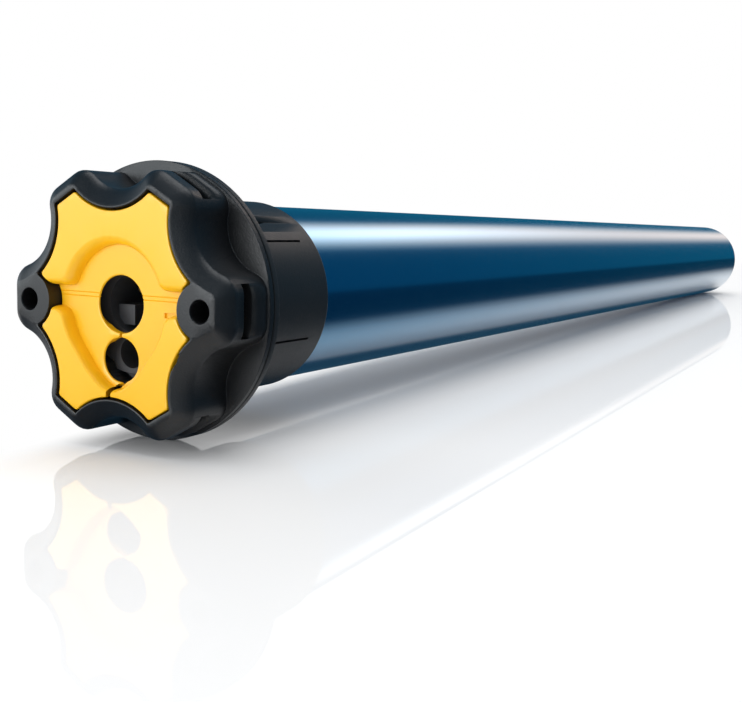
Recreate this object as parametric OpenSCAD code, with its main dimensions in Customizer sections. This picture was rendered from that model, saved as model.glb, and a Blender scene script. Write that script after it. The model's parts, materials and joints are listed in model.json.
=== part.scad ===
// Tubular motor for a roller blind.
// The motor's axis is X: the head's mounting face is x = 0 and the output spindle points to +X.
// Y runs through the two fixing screw holes and Z is up. All sizes are in millimetres.

/* [Tube] */
// Outer diameter of the motor tube
tube_d = 45; // [44.5:0.1:48]
// Wall of the motor tube
tube_wall = 1.2; // [0.8:0.1:1.4]
// Distance from the head's mounting face to the far end of the motor's body
body_len = 587; // [510:1:900]

/* [Head] */
// Distance between the two fixing screw holes
screw_pitch = 48; // [47:0.5:49]
// Diameter of the fixing screw holes
screw_hole_d = 4.6; // [3.5:0.1:5.2]
// Depth of the fixing screw holes
screw_hole_depth = 13; // [8:0.5:14]
// Radius of the flat boss round each fixing screw hole
boss_r = 6.05; // [5.5:0.05:6.5]
// Thickness of the star-shaped body, from its mounting face to its flange
star_t = 14.5; // [13:0.5:20]
// Distance from the axis to the flat end of a lobe, at the edge of the face plate
lobe_r = 26.1; // [25:0.1:26.1]
// Radius of the hollow between two lobes, at the edge of the face plate
hollow_r = 15.5; // [15.5:0.1:16]
// Distance from the axis to the centre of each hollow
hollow_centre_r = 35.7; // [35.2:0.1:35.7]
// Width of the housing's rim round the face plate, at the mounting face
rim_front = 1.6; // [1.2:0.1:2]
// Width of the housing outside the face plate, behind its rounded front edge
rim_body = 4.6; // [4:0.1:4.6]
// Length of the rounded front edge along the axis
edge_len = 3.5; // [2.5:0.1:5]
// Diameter of the flanges on the head and on the crown
flange_d = 63; // [63:0.5:70]
// Thickness of the head's flange
head_flange_t = 1.5; // [1.2:0.1:3]
// Position along the axis of the slot in each lobe
lobe_slot_x = 6.1; // [5.5:0.1:9]
// Width of the slot in each lobe
lobe_slot_w = 2.7; // [2:0.1:4]
// Length of the slot in each lobe
lobe_slot_len = 11.6; // [6:0.1:12]
// Distance from the axis to the bottom of the slot in each lobe
lobe_slot_floor_r = 27; // [26.8:0.1:29]

/* [Face plate] */
// Thickness of the face plate, which is the depth of its pocket
plate_t = 5; // [4.5:0.1:5.4]
// How far the plate's face lies behind the mounting face
plate_inset = 0.2; // [0:0.05:0.5]
// Depth of the plate's sunk area below the mounting face
sunk_depth = 3.3; // [2:0.1:3.8]
// Radius of the round upper part of the sunk area
sunk_r = 14.2; // [13:0.1:15]
// Gap between the plate and its pocket
plate_gap = 0.35; // [0.2:0.05:0.5]
// Diameter of the plug hole on the axis
plug_hole_d = 12.6; // [10:0.1:12.8]
// Diameter of the lead hole below the plug hole
lead_hole_d = 9.8; // [8:0.1:10]
// Distance of the lead hole below the axis
lead_hole_drop = 12.2; // [12:0.1:12.6]

/* [Crown] */
// How far the crown stands out past the tube, on the radius
crown_step = 1; // [0.5:0.1:3]
// Length of the crown's sleeve behind its flange
crown_len = 33.8; // [33:0.1:40]
// Thickness of the crown's flange
crown_flange_t = 1.8; // [1.2:0.1:3]
// Gap at each end of the crown along the axis
crown_gap = 0.3; // [0.2:0.05:0.6]
// Number of slits in the crown's sleeve
slit_count = 6; // [2:1:10]
// Width of each slit
slit_w = 1; // [0.6:0.1:2]
// Depth of each slit
slit_depth = 1.2; // [0.5:0.1:1.5]
// Length of each slit
slit_len = 26; // [10:0.5:30]
// Length of the crown's keyway
keyway_len = 17.5; // [8:0.5:25]

/* [Neck and adapter] */
// Radius of the head's neck, on which the crown turns
neck_r = 18; // [17.8:0.05:18.2]
// Radius of the neck's bore
neck_bore_r = 15.6; // [15.5:0.05:16]
// Radius of the nose on the tube adapter, which carries the crown's far end
nose_r = 20; // [19.6:0.1:20.2]
// Length of the tube adapter inside the tube
adapter_len = 20; // [16:0.5:40]

/* [Limit switch] */
// Width of each cam disc
cam_w = 3; // [2.8:0.1:3.6]
// Radius of each cam disc
cam_r = 9; // [8:0.1:9.2]
// Radius of the spindle that carries the cam wheels
spindle_r = 2; // [1.5:0.1:3]

/* [Capacitor] */
// Diameter of the run capacitor
capacitor_d = 25; // [15:0.5:25.2]
// Length of the run capacitor
capacitor_len = 70; // [40:1:78]

/* [Motor] */
// Length of the stator's core
stator_len = 120; // [60:1:130]
// Radius of the stator's bore
stator_bore_r = 13; // [11:0.1:13.5]
// Air gap between the rotor and the stator
air_gap = 0.3; // [0.2:0.05:0.6]
// Radius of the motor's shaft
shaft_r = 2.5; // [2:0.1:2.8]
// Length of each end shield
bell_len = 18; // [16:0.5:24]

/* [Brake] */
// Length of the brake's magnet
magnet_len = 26; // [20:0.5:34]
// Gap that the armature closes when the brake is released
brake_travel = 0.4; // [0.2:0.05:0.8]

/* [Gears] */
// Module of the reduction gear's teeth
gear_module = 0.75; // [0.7:0.01:0.77]
// Width of the planets in the first stage
planet_w_1 = 18; // [12:0.5:24]
// Width of the planets in the second stage
planet_w_2 = 22; // [12:0.5:28]
// Width of the planets in the third stage
planet_w_3 = 30; // [16:0.5:36]
// Thickness of the carrier plate in the first stage
carrier_t_1 = 3.5; // [2.5:0.1:5]
// Thickness of the carrier plate in the second stage
carrier_t_2 = 4; // [2.5:0.1:6]
// Thickness of the carrier plate in the third stage
carrier_t_3 = 7; // [4:0.1:10]
// Radius of the pins that carry the planets
planet_pin_r = 2; // [1.5:0.1:2.5]
// Radius of the output shaft
output_r = 9; // [8.6:0.1:11]
// Width across the flats of the output spindle's square
spindle_square = 12; // [10:0.1:12]
// Length of the output spindle outside the tube
spindle_len = 14; // [10:0.5:30]
// Diameter of the thread's core in the spindle's end
spindle_thread_d = 5; // [3:0.1:6]
// Depth of the thread in the spindle's end
spindle_thread_depth = 15; // [8:0.5:30]

/* [Hidden] */
$fn = 96;
LOBES = 6;
EDGE_STEPS = 4;
ARC_STEPS = 9;
RUN = 0.05;
SEAT = 0.1;
PLAY = 0.5;
TOOTH_PLAY = 0.06;
PRESSURE = 25;
FLANK_STEPS = 2;
CUT = 1;
STAGES = 3;

// Radii shared by the pieces that fit one in another
tube_r = tube_d / 2;
tube_bore_r = tube_r - tube_wall;
inner_r = tube_bore_r - SEAT;
flange_r = flange_d / 2;
crown_r = tube_r + crown_step;
neck_rear_r = neck_r - 0.6;
lip_bore_r = 14.2;
lip_t = 2;

// The head's pieces, from the mounting face back
head_back_x = star_t + head_flange_t;
crown_x0 = head_back_x + crown_gap;
crown_flange_x1 = crown_x0 + crown_flange_t;
crown_x1 = crown_flange_x1 + crown_len;
tube_x0 = crown_x1 + crown_gap;
lip_x1 = plate_t + lip_t;

// The crown's teeth and the limit switch unit lie at fixed steps in front of the tube
CROWN_TEETH = 52;
CROWN_MODULE = 0.75;
LIMIT_TEETH = 14;
CAM_MODULE = 0.5;
CAM_TEETH = 42;
CAM_PINION_TEETH = 15;
limit_r = (CROWN_TEETH - LIMIT_TEETH) * CROWN_MODULE / 2;
CROWN_REAR_LEN = 7.9;
crown_gear_x1 = crown_x1 - CROWN_REAR_LEN;
crown_gear_x0 = crown_gear_x1 - 6;
neck_step_x = crown_gear_x0 - 1.4;
nose_x0 = crown_gear_x1 + 2.5;
neck_end_x = tube_x0 + 1.8;
adapter_x1 = tube_x0 + adapter_len;
insert_x1 = neck_step_x - 0.3;
frame_x0 = insert_x1 + 0.1;
frame_plate_t = 1.6;
cam_step = 7;
cam_gear_w = 2.5;
cam_x = [crown_gear_x1 + 2, crown_gear_x1 + 2 + cam_step];
cam_pinion_x1 = cam_x[1] + cam_gear_w + PLAY;
frame_x1 = cam_x[1] + cam_gear_w + cam_w + 3;
switch_z = -11.6;
switch_h = 3.2;
switch_len = 9;
lever_pivot = [-4.2, -10.75];

// The drive train, from the far end forwards
LIP_T = 1.2;
HOUSING_LEN = 38;
tube_x1 = body_len - LIP_T;
planet_w = [planet_w_1, planet_w_2, planet_w_3];
carrier_t = [carrier_t_1, carrier_t_2, carrier_t_3];
housing_x0 = tube_x1 - HOUSING_LEN;
carrier_x1 = [for (s = [0:STAGES - 1]) housing_x0 - PLAY - behind(s)];
ring_x0 = carrier_x1[0] - carrier_t[0] - PLAY - planet_w[0] - 3;
BRAKE_PLATE_T = 4;
BRAKE_DISC_T = 4;
ARMATURE_T = 3.5;
disc_x1 = ring_x0 - BRAKE_PLATE_T - RUN;
armature_x1 = disc_x1 - BRAKE_DISC_T - RUN;
magnet_x1 = armature_x1 - ARMATURE_T - brake_travel - SEAT;
magnet_x0 = magnet_x1 - magnet_len;
stator_x1 = magnet_x0 - bell_len;
stator_x0 = stator_x1 - stator_len;
front_bell_x0 = stator_x0 - bell_len;
CAPACITOR_GAP = 20;
capacitor_x1 = front_bell_x0 - CAPACITOR_GAP;
capacitor_x0 = capacitor_x1 - capacitor_len;
spindle_x1 = body_len + spindle_len;

// Tooth counts of every stage of the reduction gear
SUN_TEETH = 12;
PLANET_TEETH = 18;
RING_TEETH = 48;
orbit_r = (SUN_TEETH + PLANET_TEETH) * gear_module / 2;
carrier_r = RING_TEETH * gear_module / 2 - gear_module - 0.75;
BUSH_LEN = 8;
BUSH_WALL = 3.5;
bush_r = shaft_r + BUSH_WALL;

// Places of the four leads round the axis, and of the bars in the limit switch's frame
LEAD_ANGLES = [203, 213, 327, 337];
LEAD_R = 13.8;
LEAD_D = 1.8;
BAR_ANGLES = [18, 162];
BAR_R = 13.5;

// Distance from a stage's carrier plate back to the last one
function behind(s) = s >= STAGES - 1 ? 0 : behind(s + 1) + carrier_t[s + 1] + planet_w[s + 1] + 2 * PLAY;

// Shapes along the motor's axis
module along_x() rotate([90, 0, 90]) children();

module rod(x0, x1, r) along_x() translate([0, 0, x0]) cylinder(h = x1 - x0, r = r);

module cone(x0, x1, r0, r1) along_x() translate([0, 0, x0]) cylinder(h = x1 - x0, r1 = r0, r2 = r1);

module ring(x0, x1, r_out, r_in) difference() {
    rod(x0, x1, r_out);
    rod(x0 - CUT, x1 + CUT, r_in);
}

module slab(x0, x1) along_x() translate([0, 0, x0]) linear_extrude(x1 - x0) children();

module block(x0, x1, y0, y1, z0, z1) translate([x0, y0, z0]) cube([x1 - x0, y1 - y0, z1 - z0]);

module around(angle, radius = 0) rotate([angle, 0, 0]) translate([0, radius, 0]) children();

// Involute teeth: the outline of a gear, with play taken off or added at the pitch circle
function inv(a) = tan(a) * 180 / PI - a;

function half_tooth(r, pitch_r, base_r, play, teeth) =
    90 / teeth + play * 90 / (PI * pitch_r) + inv(PRESSURE) - inv(acos(min(1, base_r / r)));

function flank_radii(root_r, base_r, tip_r) = concat(root_r < base_r ? [root_r] : [],
    [for (i = [0:FLANK_STEPS]) let (foot = max(root_r, base_r)) foot + (tip_r - foot) * i / FLANK_STEPS]);

function gear_points(teeth, m, above, below, play) = let (
        pitch_r = teeth * m / 2,
        base_r = pitch_r * cos(PRESSURE),
        radii = flank_radii(pitch_r - below, base_r, pitch_r + above),
        last = len(radii) - 1)
    [for (k = [0:teeth - 1], side = [-1, 1], i = [0:last]) let (
        r = side < 0 ? radii[i] : radii[last - i],
        a = k * 360 / teeth + side * half_tooth(max(r, base_r), pitch_r, base_r, play, teeth))
        [r * cos(a), r * sin(a)]];

module gear(teeth, m) polygon(gear_points(teeth, m, m, 1.2 * m, -TOOTH_PLAY));

module gear_space(teeth, m) polygon(gear_points(teeth, m, 1.2 * m, m, TOOTH_PLAY));

// The star outline: a hexagon whose sides are the lobes' flat ends, with six round hollows
module star(grow) difference() {
    rotate(30) circle(r = (lobe_r + grow) / cos(30), $fn = LOBES);
    for (k = [0:LOBES - 1]) rotate(30 + 60 * k) translate([hollow_centre_r, 0]) circle(r = hollow_r - grow);
}

function flat_half(grow) = hollow_centre_r * sin(30)
    - sqrt(pow(hollow_r - grow, 2) - pow(lobe_r + grow - hollow_centre_r * cos(30), 2));

function hollow_span(grow) = atan2(hollow_centre_r * sin(30) - flat_half(grow),
    hollow_centre_r * cos(30) - lobe_r - grow) - 30;

function star_ring(x, grow) = [for (k = [0:LOBES - 1], i = [0:ARC_STEPS]) let (
        turn = 180 + hollow_span(grow) * (1 - 2 * i / ARC_STEPS),
        out = hollow_centre_r + (hollow_r - grow) * cos(turn),
        side = (hollow_r - grow) * sin(turn),
        a = 30 + 60 * k)
    [x, out * cos(a) - side * sin(a), out * sin(a) + side * cos(a)]];

// The star body swells from the narrow rim to its full width along a quarter ellipse, then runs straight
// into the flange. Its first ring lies in front of the mounting face, where the face is cut off flat.
FACE_CUT = 0.1;

module star_body() {
    count = LOBES * (ARC_STEPS + 1);
    last = EDGE_STEPS + 1;
    first_t = 90 / EDGE_STEPS;
    slope = (rim_body - rim_front) * sin(first_t) / (edge_len * (1 - cos(first_t)));
    points = concat(star_ring(-FACE_CUT, rim_front - FACE_CUT * slope),
        [for (j = [1:EDGE_STEPS]) let (t = j * first_t)
            each star_ring(edge_len * (1 - cos(t)), rim_front + (rim_body - rim_front) * sin(t))],
        star_ring(star_t + head_flange_t / 2, rim_body));
    sides = [for (j = [0:last - 1], i = [0:count - 1]) let (n = (i + 1) % count, a = j * count, b = a + count)
        each [[a + i, b + i, b + n], [a + i, b + n, a + n]]];
    polyhedron(points, concat([[for (i = [0:count - 1]) i]], sides,
        [[for (i = [count - 1:-1:0]) last * count + i]]));
}

module at_screws() for (s = [-1, 1]) translate([0, s * screw_pitch / 2, 0]) children();

module boss_discs(r) for (s = [-1, 1]) translate([s * screw_pitch / 2, 0]) circle(r = r);

module head_housing() color("dimgray") difference() {
    union() {
        star_body();
        rod(star_t, head_back_x, flange_r);
        rod(head_back_x, neck_step_x, neck_r);
        rod(neck_step_x, neck_end_x, neck_rear_r);
    }
    rod(-CUT, 0, flange_r);
    slab(-CUT, plate_t) difference() {
        star(plate_gap);
        boss_discs(boss_r);
    }
    rod(plate_t - CUT, lip_x1 + CUT, lip_bore_r);
    rod(lip_x1, neck_end_x + CUT, neck_bore_r);
    translate([0, 0, -lead_hole_drop]) rod(plate_t - CUT, lip_x1 + lip_t, lead_hole_d / 2 + plate_gap);
    at_screws() rod(-CUT, screw_hole_depth, screw_hole_d / 2);
    for (k = [0:LOBES - 1]) around(60 * k)
        block(lobe_slot_x, lobe_slot_x + lobe_slot_w, lobe_slot_floor_r, flange_r + CUT,
            -lobe_slot_len / 2, lobe_slot_len / 2);
    limit_window(neck_step_x + 1, neck_end_x + CUT, flange_r);
}

// Room for the limit pinion in what lies round it
module limit_window(x0, x1, r) block(x0, x1, -6.6, 6.6, 8, r);

// The sunk area of the face plate: a round top, a channel to each screw boss and a tapered lower part
SUNK_CHANNEL_TOP = 4;
SUNK_SIDE = [[24, -1.6], [14.5, -1.3], [12.8, -4.3], [9.9, -9.6], [7, -14], [4.9, -17.4], [1.7, -18.6]];

module sunk_area() {
    intersection() {
        circle(r = sunk_r);
        translate([-sunk_r, 0]) square([2 * sunk_r, sunk_r]);
    }
    polygon(concat([[-24, SUNK_CHANNEL_TOP], [24, SUNK_CHANNEL_TOP]], SUNK_SIDE,
        [for (i = [len(SUNK_SIDE) - 1:-1:0]) [-SUNK_SIDE[i][0], SUNK_SIDE[i][1]]]));
}

SLIT = 0.8;
LEAD_SLIT = [[-0.1, 0], [0.4, -5.2], [2.4, -6.1], [3.1, -9]];

// The slit lets the lead be laid in: it joins the two holes and leaves the lower one in a zigzag
module lead_slit() {
    translate([-SLIT / 2, -lead_hole_drop]) square([SLIT, lead_hole_drop]);
    polygon(concat([for (p = LEAD_SLIT) [p[0] - SLIT / 2, p[1] - lead_hole_drop]],
        [for (i = [len(LEAD_SLIT) - 1:-1:0]) [LEAD_SLIT[i][0] + SLIT / 2, LEAD_SLIT[i][1] - lead_hole_drop]]));
}

module face_plate() color("gold") difference() {
    slab(plate_inset, plate_t) difference() {
        star(0);
        boss_discs(boss_r + plate_gap);
    }
    slab(-CUT, sunk_depth) sunk_area();
    rod(-CUT, plate_t + CUT, plug_hole_d / 2);
    translate([0, 0, -lead_hole_drop]) rod(-CUT, plate_t + CUT, lead_hole_d / 2);
    slab(-CUT, plate_t + CUT) lead_slit();
    block(-CUT, sunk_depth + 0.6, -screw_pitch / 2, screw_pitch / 2, 1.3, 2.2);
}

KEYWAY_ANGLE = 129;
KEYWAY_W = 6;
KEYWAY_DEPTH = 2;
CROWN_CHAMFER = 1;
GROOVE_START = 1;
SLIT_ANGLE = 23;

module crown() color("dimgray") difference() {
    union() {
        rod(crown_x0, crown_flange_x1, flange_r);
        rod(crown_flange_x1, crown_x1 - CROWN_CHAMFER, crown_r);
        cone(crown_x1 - CROWN_CHAMFER, crown_x1, crown_r, crown_r - CROWN_CHAMFER);
    }
    rod(crown_x0 - CUT, crown_gear_x0 + CUT, neck_r + RUN);
    slab(crown_gear_x0, crown_gear_x1 + CUT) gear_space(CROWN_TEETH, CROWN_MODULE);
    rod(crown_gear_x1, crown_x1 + CUT, nose_r + RUN);
    for (k = [0:slit_count - 1]) around(SLIT_ANGLE + 360 / slit_count * k)
        block(crown_flange_x1 + GROOVE_START, crown_flange_x1 + GROOVE_START + slit_len,
            crown_r - slit_depth, crown_r + CUT, -slit_w / 2, slit_w / 2);
    around(KEYWAY_ANGLE) translate([crown_flange_x1, crown_r - KEYWAY_DEPTH, 0]) rotate([-90, 0, 0])
        linear_extrude(KEYWAY_DEPTH + CUT) polygon([[GROOVE_START, -KEYWAY_W / 2], [keyway_len, 0], [GROOVE_START, KEYWAY_W / 2]]);
}

module motor_tube() color("midnightblue") ring(tube_x0, tube_x1, tube_r, tube_bore_r);

module tube_adapter() color("gray") difference() {
    union() {
        rod(nose_x0, tube_x0, nose_r);
        rod(tube_x0, adapter_x1, inner_r);
    }
    rod(nose_x0 - CUT, neck_end_x + SEAT, neck_rear_r + RUN);
    rod(neck_end_x, adapter_x1 + CUT, neck_bore_r);
    limit_window(nose_x0 - CUT, cam_pinion_x1 + CUT, limit_r + CAM_PINION_TEETH * CAM_MODULE / 2 + 2 * CAM_MODULE);
}

PIN_R = 0.8;
PIN_PITCH = 2.6;
PIN_Z = 2.6;
PIN_OUT = 13;
SOCKET_PIN_ROOM = 9;
socket_floor_x = insert_x1 - SOCKET_PIN_ROOM;
LATCH_DROP = 11;
LATCH_R = 3.4;

module at_pins() for (i = [-1.5:1:1.5]) translate([0, i * PIN_PITCH, PIN_Z]) children();

module socket_insert() color("slategray") {
    difference() {
        rod(lip_x1, insert_x1, neck_bore_r - SEAT);
        rod(lip_x1 - CUT, socket_floor_x, plug_hole_d / 2 + SEAT);
        translate([0, 0, -LATCH_DROP]) rod(lip_x1 - CUT, socket_floor_x, LATCH_R);
        at_pins() rod(socket_floor_x - CUT, insert_x1 + CUT, PIN_R + SEAT / 4);
    }
    block(lip_x1 + lip_t, socket_floor_x + SEAT, 1, 5.6, -5, -0.5);
}

module socket_pins() color("goldenrod") at_pins() {
    rod(socket_floor_x - PIN_OUT, insert_x1 - SEAT, PIN_R);
}

// Limit switch unit: two plates on bars carry the spindle, the pinion and the two switches
module at_leads() for (a = LEAD_ANGLES) around(a, LEAD_R) children();

module limit_plate(x0) difference() {
    rod(x0, x0 + frame_plate_t, neck_bore_r - SEAT);
    rod(x0 - CUT, x0 + frame_plate_t + CUT, spindle_r);
    at_leads() rod(x0 - CUT, x0 + frame_plate_t + CUT, LEAD_D / 2 + SEAT);
    translate([0, 0, limit_r]) rod(x0 - CUT, x0 + frame_plate_t + CUT, LIMIT_SHAFT_R + RUN);
}

LIMIT_SHAFT_R = 1;

module limit_frame() color("ivory") {
    limit_plate(frame_x0);
    limit_plate(frame_x1);
    for (a = BAR_ANGLES) around(a, BAR_R) rod(frame_x0 + SEAT, frame_x1 + SEAT, 1.3);
    for (s = [-1, 1]) block(frame_x0 + SEAT, frame_x1 + SEAT, s * 5.4 - 0.75, s * 5.4 + 0.75,
        switch_z - switch_h + 1, switch_z - 0.2);
}

module limit_spindle() color("silver") rod(frame_x0, frame_x1 + frame_plate_t, spindle_r);

module limit_pinion() color("ivory") translate([0, 0, limit_r]) {
    slab(crown_gear_x0 + PLAY, crown_gear_x1 - PLAY) rotate(90) gear(LIMIT_TEETH, CROWN_MODULE);
    rod(crown_gear_x1 - PLAY, cam_x[0] - PLAY, CAM_PINION_TEETH * CAM_MODULE / 2 - 2 * CAM_MODULE);
    slab(cam_x[0] - PLAY, cam_pinion_x1) rotate(-90) gear(CAM_PINION_TEETH, CAM_MODULE);
    rod(frame_x0 + PLAY, crown_gear_x0 + PLAY, LIMIT_SHAFT_R);
    rod(cam_pinion_x1, frame_x1 + frame_plate_t - SEAT, LIMIT_SHAFT_R);
}

CAM_NOTCH_W = 3;
CAM_NOTCH_DEPTH = 0.9;

module cam_wheel(x0, notch_angle) difference() {
    union() {
        slab(x0, x0 + cam_gear_w) gear(CAM_TEETH, CAM_MODULE);
        rod(x0, x0 + cam_gear_w + cam_w, cam_r);
    }
    rod(x0 - CUT, x0 + cam_gear_w + cam_w + CUT, spindle_r + RUN);
    around(notch_angle) block(x0 + cam_gear_w + PLAY, x0 + cam_gear_w + cam_w + CUT,
        cam_r - CAM_NOTCH_DEPTH, cam_r + CUT, -CAM_NOTCH_W / 2, CAM_NOTCH_W / 2);
}

module cam_wheel_up() color("ivory") cam_wheel(cam_x[0], 40);

module cam_wheel_down() color("ivory") cam_wheel(cam_x[1], 140);

LEVER_PIN_R = 0.35;
EAR_T = 0.6;
SWITCH_W = cam_w - 2 * SEAT;
LEVER_W = SWITCH_W - 2 * (EAR_T + SEAT);
BUTTON_Y = 0.2;

// A switch lies under its cam, with two ears for its lever's pin and a button under the lever
module microswitch(x_mid) {
    block(x_mid - SWITCH_W / 2, x_mid + SWITCH_W / 2, -switch_len / 2, switch_len / 2, switch_z - switch_h, switch_z);
    translate([0, lever_pivot[0], lever_pivot[1]]) rod(x_mid - SWITCH_W / 2, x_mid + SWITCH_W / 2, LEVER_PIN_R);
    for (s = [-1, 1]) translate([x_mid + s * (SWITCH_W - EAR_T) / 2, 0, 0])
        block(-EAR_T / 2, EAR_T / 2, lever_pivot[0] - EAR_T / 2, lever_pivot[0] + EAR_T,
            switch_z - SEAT, lever_pivot[1] + EAR_T);
    block(x_mid - 0.5, x_mid + 0.5, BUTTON_Y - 0.6, BUTTON_Y + 0.6, switch_z - SEAT, switch_z + 0.2);
}

LEVER_T = 0.4;
FOLLOWER_R = 0.6;

module switch_lever(x_mid) translate([0, lever_pivot[0], lever_pivot[1]]) difference() {
    union() {
        rod(x_mid - LEVER_W / 2, x_mid + LEVER_W / 2, LEVER_PIN_R + 0.35);
        block(x_mid - LEVER_W / 2, x_mid + LEVER_W / 2, 0, switch_len - 1, -LEVER_T / 2, LEVER_T / 2);
        translate([0, -lever_pivot[0], -lever_pivot[1] - cam_r - FOLLOWER_R - SEAT])
            rod(x_mid - LEVER_W / 2, x_mid + LEVER_W / 2, FOLLOWER_R);
        block(x_mid - LEVER_W / 2, x_mid + LEVER_W / 2, -lever_pivot[0] - FOLLOWER_R, -lever_pivot[0] + FOLLOWER_R,
            0, -lever_pivot[1] - cam_r - FOLLOWER_R - SEAT);
    }
    rod(x_mid - LEVER_W, x_mid + LEVER_W, LEVER_PIN_R + RUN);
}

cam_mid = [for (x = cam_x) x + cam_gear_w + cam_w / 2];

module microswitch_up() color("dimgray") microswitch(cam_mid[0]);

module microswitch_down() color("dimgray") microswitch(cam_mid[1]);

module switch_lever_up() color("silver") switch_lever(cam_mid[0]);

module switch_lever_down() color("silver") switch_lever(cam_mid[1]);

// Capacitor and leads
CRADLE_RING = 5;
CRADLE_IN = 4;

module capacitor() color("whitesmoke") {
    rod(capacitor_x0, capacitor_x1, capacitor_d / 2);
    for (s = [-1, 1]) translate([0, s * 4, 0]) rod(capacitor_x0 - 5, capacitor_x0 + SEAT, 1.2);
}

module capacitor_cradle() color("gray") difference() {
    union() {
        for (x = [capacitor_x0 + CRADLE_IN, capacitor_x1 - CRADLE_IN - CRADLE_RING]) rod(x, x + CRADLE_RING, inner_r);
        for (s = [-1, 1]) block(capacitor_x0 + CRADLE_IN, capacitor_x1 - CRADLE_IN,
            s * (inner_r - 3) - 1.5, s * (inner_r - 3) + 1.5, -4, 4);
    }
    rod(capacitor_x0 - CUT, capacitor_x1 + CUT, capacitor_d / 2 + SEAT);
    at_leads() rod(capacitor_x0, capacitor_x1, LEAD_D / 2 + 2 * SEAT);
}

module motor_leads() color("saddlebrown") at_leads() rod(insert_x1 + SEAT, front_bell_x0 - SEAT, LEAD_D / 2);

// Motor
BELL_WALL = 1.5;
BELL_PLATE = 4;
STATOR_SLOTS = 12;
SLOT_IN = 1.4;
SLOT_DEEP = 4.2;
SLOT_W = 3.2;
WINDING_LEN = 11;

module bell(plate_x0, rim_x0, rim_x1, bush_x0) difference() {
    union() {
        rod(plate_x0, plate_x0 + BELL_PLATE, inner_r);
        ring(rim_x0, rim_x1, inner_r, inner_r - BELL_WALL);
        rod(bush_x0, bush_x0 + BUSH_LEN, bush_r + 1.5);
    }
    rod(bush_x0 - BUSH_LEN, bush_x0 + 2 * BUSH_LEN, bush_r);
}

module front_bell() color("lightsteelblue")
    bell(front_bell_x0, front_bell_x0 + CUT, stator_x0, front_bell_x0);

module rear_bell() color("lightsteelblue")
    bell(magnet_x0 - BELL_PLATE, stator_x1, magnet_x0 - CUT, magnet_x0 - BUSH_LEN);

module front_bush() color("darkgoldenrod")
    ring(front_bell_x0, front_bell_x0 + BUSH_LEN, bush_r, shaft_r + RUN);

module rear_bush() color("darkgoldenrod") ring(magnet_x0 - BUSH_LEN, magnet_x0, bush_r, shaft_r + RUN);

module stator_bars(grow, x0, x1) for (k = [0:STATOR_SLOTS - 1]) around(360 / STATOR_SLOTS * k)
    block(x0, x1, stator_bore_r + SLOT_IN - grow, stator_bore_r + SLOT_IN + SLOT_DEEP + grow,
        -SLOT_W / 2 - grow, SLOT_W / 2 + grow);

module stator_core() color("darkgray") difference() {
    rod(stator_x0, stator_x1, inner_r);
    rod(stator_x0 - CUT, stator_x1 + CUT, stator_bore_r);
    stator_bars(SEAT, stator_x0 - CUT, stator_x1 + CUT);
}

module stator_winding() color("peru") {
    stator_bars(0, stator_x0 - 2, stator_x1 + 2);
    for (x = [stator_x0 - WINDING_LEN, stator_x1 + 1]) ring(x, x + WINDING_LEN - 1,
        stator_bore_r + SLOT_IN + SLOT_DEEP + 0.4, stator_bore_r + SLOT_IN - 0.4);
}

module rotor_core() color("lightgray") {
    ring(stator_x0 + 1, stator_x1 - 1, stator_bore_r - air_gap, shaft_r);
    for (x = [stator_x0 - 2, stator_x1 - 1]) ring(x, x + 3, stator_bore_r - air_gap, stator_bore_r - 4);
}

module motor_shaft() color("silver") rod(front_bell_x0 + CUT, planet_x1(0), shaft_r);

// Brake: the spring presses the armature on the lined disc, and the magnet pulls it back
COIL_OUT = 4;
COIL_IN = 9;
SPRING_R = 5.6;
SPRING_WIRE = 1.2;
SPRING_TURNS = 4;
SPRING_POCKET = 9;

module brake_magnet() color("darkgray") difference() {
    rod(magnet_x0, magnet_x1, inner_r);
    rod(magnet_x0 - CUT, magnet_x1 + CUT, shaft_r + 1);
    rod(magnet_x1 - SPRING_POCKET, magnet_x1 + CUT, SPRING_R + SPRING_WIRE);
    ring(magnet_x1 - magnet_len + COIL_OUT, magnet_x1 + CUT, inner_r - COIL_OUT, COIL_IN);
}

module brake_coil() color("peru") ring(magnet_x1 - magnet_len + COIL_OUT, magnet_x1 - 1,
    inner_r - COIL_OUT - SEAT, COIL_IN + SEAT);

// The spring: a round wire swept along a helix, with eight sides
SPRING_STEPS = 12;
WIRE_SIDES = 8;

function spring_point(i, j) = let (
        turn = 360 * i / SPRING_STEPS,
        length = SPRING_POCKET - 2 * SPRING_WIRE,
        rise = length * i / (SPRING_TURNS * SPRING_STEPS),
        side = 360 * j / WIRE_SIDES,
        r = SPRING_R + SPRING_WIRE / 2 * cos(side))
    [magnet_x1 - SPRING_POCKET + SPRING_WIRE + rise + SPRING_WIRE / 2 * sin(side), r * cos(turn), r * sin(turn)];

module brake_spring() color("silver") {
    last = SPRING_TURNS * SPRING_STEPS;
    polyhedron([for (i = [0:last], j = [0:WIRE_SIDES - 1]) spring_point(i, j)],
        concat([[for (j = [0:WIRE_SIDES - 1]) j]],
            [for (i = [0:last - 1], j = [0:WIRE_SIDES - 1]) let (
                n = (j + 1) % WIRE_SIDES, a = i * WIRE_SIDES, b = a + WIRE_SIDES)
                each [[a + j, b + j, b + n], [a + j, b + n, a + n]]],
            [[for (j = [WIRE_SIDES - 1:-1:0]) last * WIRE_SIDES + j]]));
}

HUB_R = 5;

module brake_armature() color("darkgray")
    ring(armature_x1 - ARMATURE_T, armature_x1, inner_r - 1.5, HUB_R + PLAY);

module brake_disc() color("rosybrown") {
    ring(disc_x1 - BRAKE_DISC_T, disc_x1, inner_r - 3, shaft_r);
    ring(armature_x1 - ARMATURE_T, disc_x1, HUB_R, shaft_r);
}

module brake_plate() color("darkgray") ring(ring_x0 - BRAKE_PLATE_T, ring_x0, inner_r, HUB_R + PLAY);

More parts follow.
